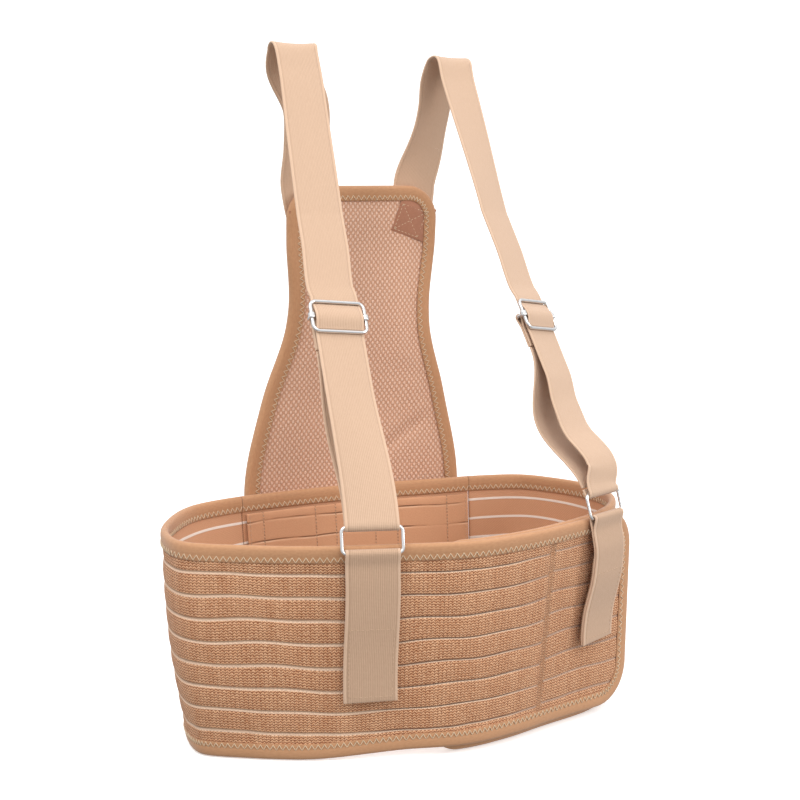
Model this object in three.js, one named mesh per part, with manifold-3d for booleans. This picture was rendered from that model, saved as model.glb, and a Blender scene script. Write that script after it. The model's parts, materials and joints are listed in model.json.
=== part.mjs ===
// Back brace: a lumbar belt with a tall back panel and two shoulder straps.
//
// Millimetres, +Z up. The wearer's belly faces -Y, the back panel stands at +Y,
// and +X is the wearer's left. Every soft piece is a thin closed solid; it is
// drawn flat as (along, up, out) and then laid round the curve of the belt,
// over the back panel, or along a strap's path.

import * as THREE from 'three';
import { mergeVertices } from 'three/addons/utils/BufferGeometryUtils.js';
import Module from 'manifold-3d';

const wasm = await Module();
wasm.setup();

// ---------------------------------------------------------------- dimensions

const GAP = 0.3;                 // air between pieces that touch on the real brace
const BELT_HEIGHT = 155;         // lumbar belt, top edge to bottom edge
const BELT_INSET = { right: 16, left: 2 };   // how far in the bottom edge is, by side
const ELASTIC = 2.4;             // thickness of the woven elastic
const LAP = 5.8;                 // how far inside the outer wing the inner wing lies
const FLARE = { out: 9.5, length: 62 };   // how far the flap's free end stands off the wing under it
const FRONT_LIFT = 5;            // the outer wing's hem rides up over the inner wing's hem
const TAPE_DEPTH = 12;           // binding tape, width visible on each face
const TAPE = 0.9;                // binding tape thickness
const TAPE_AIR = 0.6;            // air between the tape and the cloth it wraps
const STAY = { width: 12, thickness: 1.2, bottom: 16, top: 139 };
const LINING = { outer: -4.7, inner: -6.1, bottom: 13.5, top: 141.5 };
const STAY_X = [-101, -38, 17, 79];

const PANEL_TOP = 394;           // top edge of the back panel
const PANEL_FOOT = 34;           // its lower edge, sewn outside the belt
const PANEL_TOP_Y = 103;
const PANEL_STANDOFF = 3.8;        // inner face of the panel, out from the belt's outer face
const PANEL_MESH = 2.4;
const PANEL_COVER = { inner: 4.2, outer: 5.4 };
const PANEL_STAY = { x: 30, width: 14, inner: 2.7, outer: 3.9, bottom: 60, top: 376 };

const WEB_WIDTH = 37.5;           // shoulder strap webbing
const WEB = 1.5;
const HINGE = { x: 50, y: 111.2, z: 397.5 };   // where a strap leaves the panel's top edge
const CHEST = { y: 17, z: 374 };  // the front run is straight from the belt up to here
const APEX_Y = 80;
const WIRE = 1.25;               // wire radius of rings and sliders
const RING = { width: 44.2, height: 20.4 };
const SLIDER = { width: 44.2, height: 25.4 };
const TAB = { thickness: 3, hook: 1.4 };
const BOW_WAY = new THREE.Vector3(0.879, -0.477, 0);   // the way that slack webbing buckles
const FOLD_LENGTH = 24;          // sewn end of the webbing, below the slider's bar

// The two shoulder straps lie as a soft strap falls, so they differ a little: where the
// tab sits on the belt and how high its ring stands over the belt's top edge, the height
// and place of the arch, how far up from the ring the slider is, how far the webbing's
// width is turned about the vertical on its way, and how it buckles just above the ring.
const STRAPS = [
  {
    name: 'right', side: -1, tabX: -99, tabLength: 107, ringHeight: -4.5, apex: 501, apexX: 71,
    rearX: [-2, 1], chestX: 80.5, reach: 154.6, slack: 7, buckle: 0, sag: 0,
    turn: { rear: -6, apex: 8, run: 2 },
  },
  {
    name: 'left', side: 1, tabX: 94, tabLength: 94, ringHeight: 0.5, apex: 495, apexX: 64.5,
    rearX: [8, 13], chestX: 67.5, reach: 141.7, slack: 11, buckle: 6.5, sag: 3,
    turn: { rear: 18, apex: 17, run: 30 },
  },
];

const COLOUR = {
  elastic: 0xc3936f, lining: 0xcb9a78, tape: 0xc99a76, webbing: 0xe3c4a9, mesh: 0xd3ad93,
  cover: 0xc59a7c, patch: 0xa06e55, hook: 0xcfa98b, stay: 0xb9bcc0, chrome: 0xd6d8da,
};

// ------------------------------------------------------------- small helpers

const rad = (degrees) => (degrees * Math.PI) / 180;
const mix = (a, b, t) => a + (b - a) * t;
const smooth = (x, lo, hi) => {
  const t = Math.min(1, Math.max(0, (x - lo) / (hi - lo)));
  return t * t * (3 - 2 * t);
};
const steps = (n) => Array.from({ length: n + 1 }, (_, i) => i / n);

/** Makes a geometry from points and triangles that index them. */
function geometryOf(points, triangles) {
  const geometry = new THREE.BufferGeometry();
  geometry.setAttribute('position', new THREE.Float32BufferAttribute(points.flatMap((p) => p.toArray()), 3));
  geometry.setIndex(triangles.flat());
  return geometry;
}

/** Volume enclosed by an indexed geometry, negative when its faces point in. */
function signedVolume(geometry) {
  const at = geometry.attributes.position;
  const corner = [0, 1, 2].map(() => new THREE.Vector3());
  let total = 0;
  for (let i = 0; i < geometry.index.count; i += 3) {
    corner.forEach((c, k) => c.fromBufferAttribute(at, geometry.index.getX(i + k)));
    total += corner[0].dot(corner[1].clone().cross(corner[2])) / 6;
  }
  return total;
}

/** Turns a geometry's faces outward. */
function facingOut(geometry) {
  if (signedVolume(geometry) < 0) {
    const index = geometry.index.array;
    for (let i = 0; i < index.length; i += 3) [index[i], index[i + 1]] = [index[i + 1], index[i]];
  }
  return geometry;
}

/**
 * Sweeps a section through stations. Each station is a list of the section's
 * points in space, all lists in the same order; flat is the same section on
 * paper, which the end caps are triangulated from.
 */
function sweep(stations, flat, closed = false) {
  const count = flat.length;
  const triangles = [];
  const rings = closed ? stations.length : stations.length - 1;
  for (let i = 0; i < rings; i += 1) {
    const here = i * count;
    const next = ((i + 1) % stations.length) * count;
    for (let k = 0; k < count; k += 1) {
      const j = (k + 1) % count;
      triangles.push([here + k, here + j, next + j], [here + k, next + j, next + k]);
    }
  }
  if (!closed) {
    const last = (stations.length - 1) * count;
    for (const [a, b, c] of THREE.ShapeUtils.triangulateShape(flat, [])) {
      triangles.push([c, b, a], [last + a, last + b, last + c]);
    }
  }
  return facingOut(geometryOf(stations.flat(), triangles));
}

const rectangle = (a0, a1, b0, b1) => [[a0, b0], [a1, b0], [a1, b1], [a0, b1]]
  .map(([a, b]) => new THREE.Vector2(a, b));

/** A slab over a grid: place(u, v, face) with u and v from 0 to 1 and face 0 or 1. */
function slab(us, vs, place) {
  const points = [];
  for (const face of [0, 1]) for (const u of us) for (const v of vs) points.push(place(u, v, face));
  const rows = vs.length;
  const at = (i, j, face) => face * us.length * rows + i * rows + j;
  const triangles = [];
  const quad = (a, b, c, d) => triangles.push([a, b, c], [a, c, d]);
  for (let i = 0; i + 1 < us.length; i += 1) {
    for (let j = 0; j + 1 < rows; j += 1) {
      quad(at(i, j, 0), at(i, j + 1, 0), at(i + 1, j + 1, 0), at(i + 1, j, 0));
      quad(at(i, j, 1), at(i + 1, j, 1), at(i + 1, j + 1, 1), at(i, j + 1, 1));
    }
    quad(at(i, 0, 0), at(i + 1, 0, 0), at(i + 1, 0, 1), at(i, 0, 1));
    quad(at(i, rows - 1, 0), at(i, rows - 1, 1), at(i + 1, rows - 1, 1), at(i + 1, rows - 1, 0));
  }
  for (let j = 0; j + 1 < rows; j += 1) {
    quad(at(0, j, 0), at(0, j, 1), at(0, j + 1, 1), at(0, j + 1, 0));
    const i = us.length - 1;
    quad(at(i, j, 0), at(i, j + 1, 0), at(i, j + 1, 1), at(i, j, 1));
  }
  return facingOut(geometryOf(points, triangles));
}

/** Joins or cuts two closed geometries. */
function combine(operation, first, ...others) {
  const solid = (source) => {
    const plain = source.clone();
    plain.deleteAttribute('normal');
    plain.deleteAttribute('uv');
    const merged = mergeVertices(plain, 1e-4);
    return new wasm.Manifold(new wasm.Mesh({
      numProp: 3,
      vertProperties: new Float32Array(merged.attributes.position.array),
      triVerts: new Uint32Array(merged.index.array),
    }));
  };
  const result = others.reduce((whole, next) => whole[operation](solid(next)), solid(first)).getMesh();
  const geometry = new THREE.BufferGeometry();
  geometry.setAttribute('position', new THREE.BufferAttribute(result.vertProperties, 3));
  geometry.setIndex(new THREE.BufferAttribute(result.triVerts, 1));
  return geometry;
}

const brace = new THREE.Group();

/** Adds one named sub-part with its own material. */
function part(name, geometry, colour, metal = false) {
  const material = new THREE.MeshStandardMaterial({
    color: colour,
    roughness: metal ? 0.25 : 0.9,
    metalness: metal ? 1 : 0,
  });
  const mesh = new THREE.Mesh(geometry, material);
  mesh.name = name;
  brace.add(mesh);
  return mesh;
}

// ------------------------------------------------------------ the belt's form

// Plan of the top edge, from the middle of the back round the wearer's right side,
// across the belly and back round the left side.
const BELT_PLAN = new THREE.CatmullRomCurve3([
  [-20, 107], [-72, 106], [-125, 99], [-158, 85], [-188, 50], [-207, 10], [-208, -28], [-177, -58],
  [-134, -85], [-78, -107], [-30, -121], [16, -117], [60, -104], [104, -84], [141, -52],
  [159, -16], [160, 20], [150, 52], [134, 79], [104, 91], [60, 97], [20, 103],
].map(([x, y]) => new THREE.Vector3(x, y, 0)), true, 'centripetal');
BELT_PLAN.arcLengthDivisions = 800;
const GIRTH = BELT_PLAN.getLength();
const PLAN_SAMPLES = BELT_PLAN.getSpacedPoints(800);

/** Distance round the belt at which its top edge passes a given x, at the front or the back. */
function alongAt(x, atFront) {
  let best = 0;
  PLAN_SAMPLES.forEach((p, i) => {
    const miss = Math.abs(p.x - x);
    if (p.y < 0 === atFront && miss < Math.abs(PLAN_SAMPLES[best].x - x) + (PLAN_SAMPLES[best].y < 0 === atFront ? 0 : 1e3)) best = i;
  });
  return (best / 800) * GIRTH;
}

const planAt = (along) => BELT_PLAN.getPointAt((((along / GIRTH) % 1) + 1) % 1);
const tangentAt = (along) => BELT_PLAN.getTangentAt((((along / GIRTH) % 1) + 1) % 1);
const outwardAt = (along) => {
  const t = tangentAt(along);
  return new THREE.Vector3(t.y, -t.x, 0);
};

// The belt bends in facets, so that pieces laid on each other stay face to face.
const FACETS = 62;
const FACET = GIRTH / FACETS;

/** How far the belt has drawn in at a height: clearly on the wearer's right, hardly on the left. */
const insetAt = (x, up) => mix(BELT_INSET.right, BELT_INSET.left, smooth(x, 40, 150)) * (1 - up / BELT_HEIGHT);

/** Lays a flat pattern point round the belt; liftAt adds to how far out it lies. */
function onBelt(along, up, out, liftAt = () => 0) {
  const facet = Math.floor(along / FACET);
  const bend = (i) => {
    const top = planAt(i * FACET);
    return top.addScaledVector(outwardAt(i * FACET), out + liftAt(i * FACET) - insetAt(top.x, up));
  };
  const p = bend(facet).lerp(bend(facet + 1), along / FACET - facet);
  p.z = up;
  return p;
}

/** The two ends of a stretch of belt and every bend between them. */
function bends(from, to) {
  const inside = [];
  for (let i = Math.ceil((from + 1) / FACET); i * FACET < to - 1; i += 1) inside.push(i * FACET);
  return [from, ...inside, to];
}

const SEAM = alongAt(42, true);          // vertical seam that the front flap turns on
const FLAP_END = alongAt(129, true);
const REAR_RIGHT = alongAt(-110, false); // seams between the rear section and the wings
const REAR_LEFT = alongAt(90, false);
const INNER_END = alongAt(-64, true);
const SIDE_LEFT = alongAt(157, false);

/** The flap, which stands off the wing under it towards its free end. */
const flareAt = (along) => FLARE.out * Math.max(0, (along - FLAP_END) / FLARE.length + 1) ** 2;
const onFlap = (along, up, out) => onBelt(along, up, out, flareAt);

/** How far the inner wing has moved in under the outer one. */
const lapAt = (along) => LAP * (1 - smooth(along, FLAP_END + 6, SIDE_LEFT + 30));
/** Height of the outer wing's hem. */
const hemAt = (along) => FRONT_LIFT * smooth(along, INNER_END - 90, INNER_END);

/** Evenly spaced stations between two places round the belt. */
const spaced = (from, to, pitch) => {
  const n = Math.max(2, Math.ceil(Math.abs(to - from) / pitch));
  return steps(n).map((t) => mix(from, to, t));
};

/** A band of belt between two heights, from one face offset to another. */
function band(alongs, bottomAt, topAt, innerAt, outerAt, place = onBelt) {
  const flat = rectangle(0, 1, 0, 1);
  return sweep(alongs.map((along) => flat.map((c) => place(
    along,
    c.x ? topAt(along) : bottomAt(along),
    c.y ? outerAt(along) : innerAt(along),
  ))), flat);
}

const always = (value) => () => value;
const EDGE = TAPE + GAP;                 // elastic stops this far inside the tape's outer edge

/**
 * Folded binding tape along a path drawn on the flat pattern. Each path point gives
 * its place (along, up), the direction into the cloth, and the cloth's two faces.
 */
function tape(path, place, closed = false) {
  const flat = [
    [0, 0], [TAPE_DEPTH, 0], [TAPE_DEPTH, 1], [TAPE, 1], [TAPE, 2], [TAPE_DEPTH, 2], [TAPE_DEPTH, 3], [0, 3],
  ].map(([a, b]) => new THREE.Vector2(a, b));
  const stations = path.map(({ along, up, into, inner, outer }) => {
    const levels = [inner - TAPE_AIR - TAPE, inner - TAPE_AIR, outer + TAPE_AIR, outer + TAPE_AIR + TAPE];
    return flat.map((c) => place(along + into[0] * c.x, up + into[1] * c.x, levels[c.y]));
  });
  return sweep(stations, flat, closed);
}

/** Quarter-turn corner of a taped edge, drawn on the flat pattern. */
function corner(centre, radius, from, to, count) {
  return steps(count).map((t) => {
    const angle = rad(mix(from, to, t));
    const outwards = [Math.cos(angle), Math.sin(angle)];
    return {
      along: centre[0] + radius * outwards[0],
      up: centre[1] + radius * outwards[1],
      into: [-outwards[0], -outwards[1]],
    };
  });
}

// -------------------------------------------------------------- lumbar belt

const CORNER = 30;                       // radius of a wing's corners
const face = { outer: always(0), inner: always(-ELASTIC) };

part('right_wing_elastic', band(
  bends(REAR_RIGHT + GAP, SEAM - 0.6),
  (along) => hemAt(along) + EDGE,
  always(BELT_HEIGHT - EDGE),
  face.inner,
  face.outer,
), COLOUR.elastic);

part('rear_elastic', band(
  bends(REAR_LEFT - GIRTH, REAR_RIGHT),
  always(EDGE),
  always(BELT_HEIGHT - EDGE),
  face.inner,
  face.outer,
), COLOUR.elastic);

/** Height that a rounded corner takes off the end of a wing. */
const roundedOff = (distanceToEnd) => {
  const radius = CORNER - EDGE;
  const d = Math.max(0, radius - distanceToEnd);
  return radius - Math.sqrt(Math.max(0, radius * radius - d * d));
};

/** The bends of a stretch with extra stations where its end is rounded. */
const withCorner = (list, end, sign) => [...list, ...[1, 4, 9, 17, 29].map((d) => end + sign * d)]
  .sort((a, b) => a - b);

const innerStart = INNER_END + EDGE;
part('left_wing_elastic', band(
  withCorner(bends(innerStart, REAR_LEFT - GAP), innerStart, 1),
  (along) => EDGE + roundedOff(along - innerStart),
  (along) => BELT_HEIGHT - EDGE - roundedOff(along - innerStart),
  (along) => -ELASTIC - lapAt(along),
  (along) => -lapAt(along),
), COLOUR.elastic);

part('rear_lining', band(
  bends(REAR_LEFT - GIRTH + 2, REAR_RIGHT - 2),
  always(LINING.bottom),
  always(LINING.top),
  always(LINING.inner),
  always(LINING.outer),
), COLOUR.lining);

STAY_X.forEach((x, i) => {
  const middle = alongAt(x, false);
  const outer = -ELASTIC - 0.4;
  part(`belt_stay_${i + 1}`, band(
    bends(middle - STAY.width / 2, middle + STAY.width / 2),
    always(STAY.bottom),
    always(STAY.top),
    always(outer - STAY.thickness),
    always(outer),
  ), COLOUR.stay, true);
});

/** A straight run of taped edge along the top or the bottom of the belt. */
const edgeRun = (alongs, upAt, into, lap) => alongs.map((along) => ({
  along, up: upAt(along), into: [0, into], inner: -ELASTIC - lap(along), outer: -lap(along),
}));
const innerCorner = (points) => points.map((p) => ({ ...p, inner: -ELASTIC - LAP, outer: -LAP }));
const none = always(0);
const innerEdge = INNER_END;

// The tape on the outer wing and the rear section, then the tape round the inner wing.
const outerRun = bends(REAR_LEFT - GIRTH, SEAM - 0.6);
part('belt_binding_top', tape(edgeRun(outerRun, always(BELT_HEIGHT), -1, none), onBelt), COLOUR.tape);
part('belt_binding_bottom', tape(edgeRun(outerRun, hemAt, 1, none), onBelt), COLOUR.tape);

const innerRun = bends(innerEdge + CORNER + 8, REAR_LEFT - GAP);
part('left_wing_binding', tape([
  ...edgeRun(innerRun.slice().reverse(), always(BELT_HEIGHT), -1, lapAt),
  ...innerCorner(corner([innerEdge + CORNER, BELT_HEIGHT - CORNER], CORNER, 90, 180, 8)),
  ...innerCorner(corner([innerEdge + CORNER, CORNER], CORNER, 180, 270, 8)),
  ...edgeRun(innerRun, always(0), 1, lapAt),
], onBelt), COLOUR.tape);

// -------------------------------------------------------------- front flap

const flapStop = FLAP_END - EDGE;
part('flap_elastic', band(
  withCorner(bends(SEAM + 0.6, flapStop), flapStop, -1),
  (along) => hemAt(along) + EDGE + roundedOff(flapStop - along),
  (along) => BELT_HEIGHT - EDGE - roundedOff(flapStop - along),
  face.inner,
  face.outer,
  onFlap,
), COLOUR.elastic);

const flapRun = bends(SEAM + 0.6, FLAP_END - CORNER - 8);
const flat = (points) => points.map((p) => ({ ...p, inner: -ELASTIC, outer: 0 }));
part('flap_binding', tape([
  ...edgeRun(flapRun, always(BELT_HEIGHT), -1, none),
  ...flat(corner([FLAP_END - CORNER, BELT_HEIGHT - CORNER], CORNER, 90, 0, 8)),
  ...flat(corner([FLAP_END - CORNER, CORNER + FRONT_LIFT], CORNER, 0, -90, 8)),
  ...edgeRun(flapRun.slice().reverse(), hemAt, 1, none),
], onFlap), COLOUR.tape);

const HOOK_PATCH = { gap: 1.1, thickness: 0.7 };
part('flap_hook_patch', band(
  bends(SEAM + 22, FLAP_END - 24),
  always(28),
  always(BELT_HEIGHT - 28),
  always(-ELASTIC - HOOK_PATCH.gap - HOOK_PATCH.thickness),
  always(-ELASTIC - HOOK_PATCH.gap),
  onFlap,
), COLOUR.hook);

// -------------------------------------------------------------- back panel

/** The belt's outer face behind the wearer, at the top edge: a shallow arc. */
const rearYAt = (x) => 107 - 16 * ((x + 32) / 138) ** 2;

/** Half width of the panel at a height: flared foot, narrow waist, rounded shoulders. */
function panelHalf(up) {
  const flare = mix(94, 66, smooth(up, 150, 300));
  const waist = 4 * smooth(up, 230, 285) * (1 - smooth(up, 300, 350));
  return flare - waist;
}
const panelMiddle = (up) => -9 * (1 - smooth(up, 150, 380));
const PANEL_CORNER = 26;
const PANEL_UPS = spaced(PANEL_FOOT + PANEL_CORNER, PANEL_TOP - PANEL_CORNER, 20);

/** A point of the panel's flat pattern: across from its middle line, up, and out. */
function onPanel(across, up, out) {
  const x = across + panelMiddle(up);
  const lower = rearYAt(x) - insetAt(x, Math.min(up, BELT_HEIGHT));
  const y = mix(lower + PANEL_STANDOFF, PANEL_TOP_Y, smooth(up, 140, 380));
  return new THREE.Vector3(x, y + out, up);
}

/** How much the rounded corners narrow the panel at a height, for an outline shrunk by trim. */
const panelNarrowing = (up, trim) => {
  const radius = PANEL_CORNER - trim;
  const toEnd = Math.min(PANEL_TOP - trim - up, up - PANEL_FOOT - trim);
  const d = Math.max(0, radius - toEnd);
  return radius - Math.sqrt(Math.max(0, radius * radius - d * d));
};

function panelSlab(inner, outer, trim) {
  const low = PANEL_FOOT + trim;
  const high = PANEL_TOP - trim;
  const ends = [0, 1.5, 5, 11, 18];
  const ups = [...ends.map((d) => low + d), ...PANEL_UPS, ...ends.slice().reverse().map((d) => high - d)];
  const us = steps(8).map((t) => t * 2 - 1);
  return slab(us, ups, (u, up, outside) => onPanel(
    u * (panelHalf(up) - trim - panelNarrowing(up, trim)),
    up,
    outside ? outer : inner,
  ));
}

part('panel_airmesh', panelSlab(0, PANEL_MESH, EDGE), COLOUR.mesh);
part('panel_cover', panelSlab(PANEL_COVER.inner, PANEL_COVER.outer, EDGE), COLOUR.cover);

const sidePoint = (side) => (up) => {
  const slope = (panelHalf(up + 1) - panelHalf(up - 1)) / 2;
  const length = Math.hypot(1, slope);
  return { along: side * panelHalf(up), up, into: [-side / length, slope / length] };
};
const topCentre = panelHalf(PANEL_TOP) - PANEL_CORNER;
const footCentre = panelHalf(PANEL_FOOT) - PANEL_CORNER;
part('panel_binding', tape([
  ...PANEL_UPS.map(sidePoint(1)),
  ...corner([topCentre, PANEL_TOP - PANEL_CORNER], PANEL_CORNER, 0, 90, 8).slice(1),
  { along: 0, up: PANEL_TOP, into: [0, -1] },
  ...corner([-topCentre, PANEL_TOP - PANEL_CORNER], PANEL_CORNER, 90, 180, 8).slice(0, -1),
  ...PANEL_UPS.slice().reverse().map(sidePoint(-1)),
  ...corner([-footCentre, PANEL_FOOT + PANEL_CORNER], PANEL_CORNER, 180, 270, 8).slice(1),
  ...[-40, 0, 40].map((along) => ({ along, up: PANEL_FOOT, into: [0, 1] })),
  ...corner([footCentre, PANEL_FOOT + PANEL_CORNER], PANEL_CORNER, 270, 360, 8).slice(0, -1),
].map((p) => ({ ...p, inner: 0, outer: PANEL_COVER.outer })), onPanel, true), COLOUR.tape);

for (const [name, side] of [['right', -1], ['left', 1]]) {
  const ups = [PANEL_STAY.bottom, ...PANEL_UPS.filter((up) => up > PANEL_STAY.bottom + 2), PANEL_STAY.top];
  part(`panel_stay_${name}`, slab([-1, 1], ups, (u, up, outside) => onPanel(
    side * PANEL_STAY.x + (u * PANEL_STAY.width) / 2,
    up,
    outside ? PANEL_STAY.outer : PANEL_STAY.inner,
  )), COLOUR.stay, true);
}

// A square of tough cloth inside each top corner takes the strap's pull.
const PATCH = { x: 35, up: 359, half: 13.5, thickness: 1, turn: 25 };
for (const [name, side] of [['right', -1], ['left', 1]]) {
  const angle = rad(-side * PATCH.turn);
  part(`strap_patch_${name}`, slab([-1, 1], [-1, 1], (u, v, outside) => onPanel(
    side * PATCH.x + PATCH.half * (u * Math.cos(angle) - v * Math.sin(angle)),
    PATCH.up + PATCH.half * (u * Math.sin(angle) + v * Math.cos(angle)) * 0.92,
    outside ? -GAP : -GAP - PATCH.thickness,
  )), COLOUR.patch);
}

// ----------------------------------------------------------- shoulder straps

const vector = (x, y, z) => new THREE.Vector3(x, y, z);
const widthAxis = (turn) => vector(Math.cos(rad(turn)), Math.sin(rad(turn)), 0);

/** Webbing along stations of { at, tangent, width }. */
function webbing(stations, half = WEB_WIDTH / 2, thickness = WEB) {
  const section = rectangle(-half, half, -thickness / 2, thickness / 2);
  return sweep(stations.map(({ at, tangent, width }) => {
    const across = width.clone().addScaledVector(tangent, -width.dot(tangent)).normalize();
    const out = across.clone().cross(tangent).normalize();
    return section.map((c) => at.clone().addScaledVector(across, c.x).addScaledVector(out, c.y));
  }), section);
}

/** A closed wire loop with rounded corners, in the plane of two axes. */
function wireLoop(centre, across, up, width, height) {
  const halfW = width / 2 - WIRE;
  const halfH = height / 2 - WIRE;
  const bend = 2.4;
  const out = across.clone().cross(up).normalize();
  const centres = [[1, 1, 0], [-1, 1, 90], [-1, -1, 180], [1, -1, 270]];
  const stations = centres.flatMap(([sx, sy, start]) => steps(3).map((t) => {
    const angle = rad(start + 90 * t);
    const axis = across.clone().multiplyScalar(Math.cos(angle)).addScaledVector(up, Math.sin(angle));
    const at = centre.clone()
      .addScaledVector(across, sx * (halfW - bend))
      .addScaledVector(up, sy * (halfH - bend))
      .addScaledVector(axis, bend);
    return steps(8).slice(0, -1).map((k) => at.clone()
      .addScaledVector(axis, WIRE * Math.cos(2 * Math.PI * k))
      .addScaledVector(out, WIRE * Math.sin(2 * Math.PI * k)));
  }));
  return sweep(stations, steps(8).slice(0, -1).map(() => new THREE.Vector2()), true);
}

/** A round bar from one point to another. */
function bar(from, to, radius) {
  const axis = to.clone().sub(from);
  const geometry = new THREE.CylinderGeometry(radius, radius, axis.length(), 12);
  geometry.applyQuaternion(new THREE.Quaternion().setFromUnitVectors(vector(0, 1, 0), axis.clone().normalize()));
  const middle = from.clone().add(to).multiplyScalar(0.5);
  return geometry.translate(middle.x, middle.y, middle.z);
}

/** Webbing folded round a wire and sewn to itself: a loop on top of a doubled leg. */
function foldedEnd(centre, across, down, out, legLength, legHalf, width = WEB_WIDTH) {
  const hole = WIRE + GAP;
  const skin = hole + WEB;
  const shape = new THREE.Shape();
  const meet = Math.asin(legHalf / skin);
  shape.moveTo(legHalf, legLength);
  shape.lineTo(legHalf, skin * Math.cos(meet));
  shape.absarc(0, 0, skin, Math.PI / 2 - meet, Math.PI / 2 + meet - 2 * Math.PI, true);
  shape.lineTo(-legHalf, legLength);
  shape.closePath();
  const eye = new THREE.Path();
  eye.absarc(0, 0, hole, 0, Math.PI * 2, false);
  shape.holes.push(eye);
  const geometry = new THREE.ExtrudeGeometry(shape, { depth: width, bevelEnabled: false, curveSegments: 8 });
  geometry.translate(0, 0, -width / 2);
  const place = new THREE.Matrix4().makeBasis(out, down, across).setPosition(centre);
  return facingOut(mergedPlain(geometry.applyMatrix4(place)));
}

function mergedPlain(geometry) {
  geometry.deleteAttribute('normal');
  geometry.deleteAttribute('uv');
  return mergeVertices(geometry, 1e-4);
}

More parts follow.
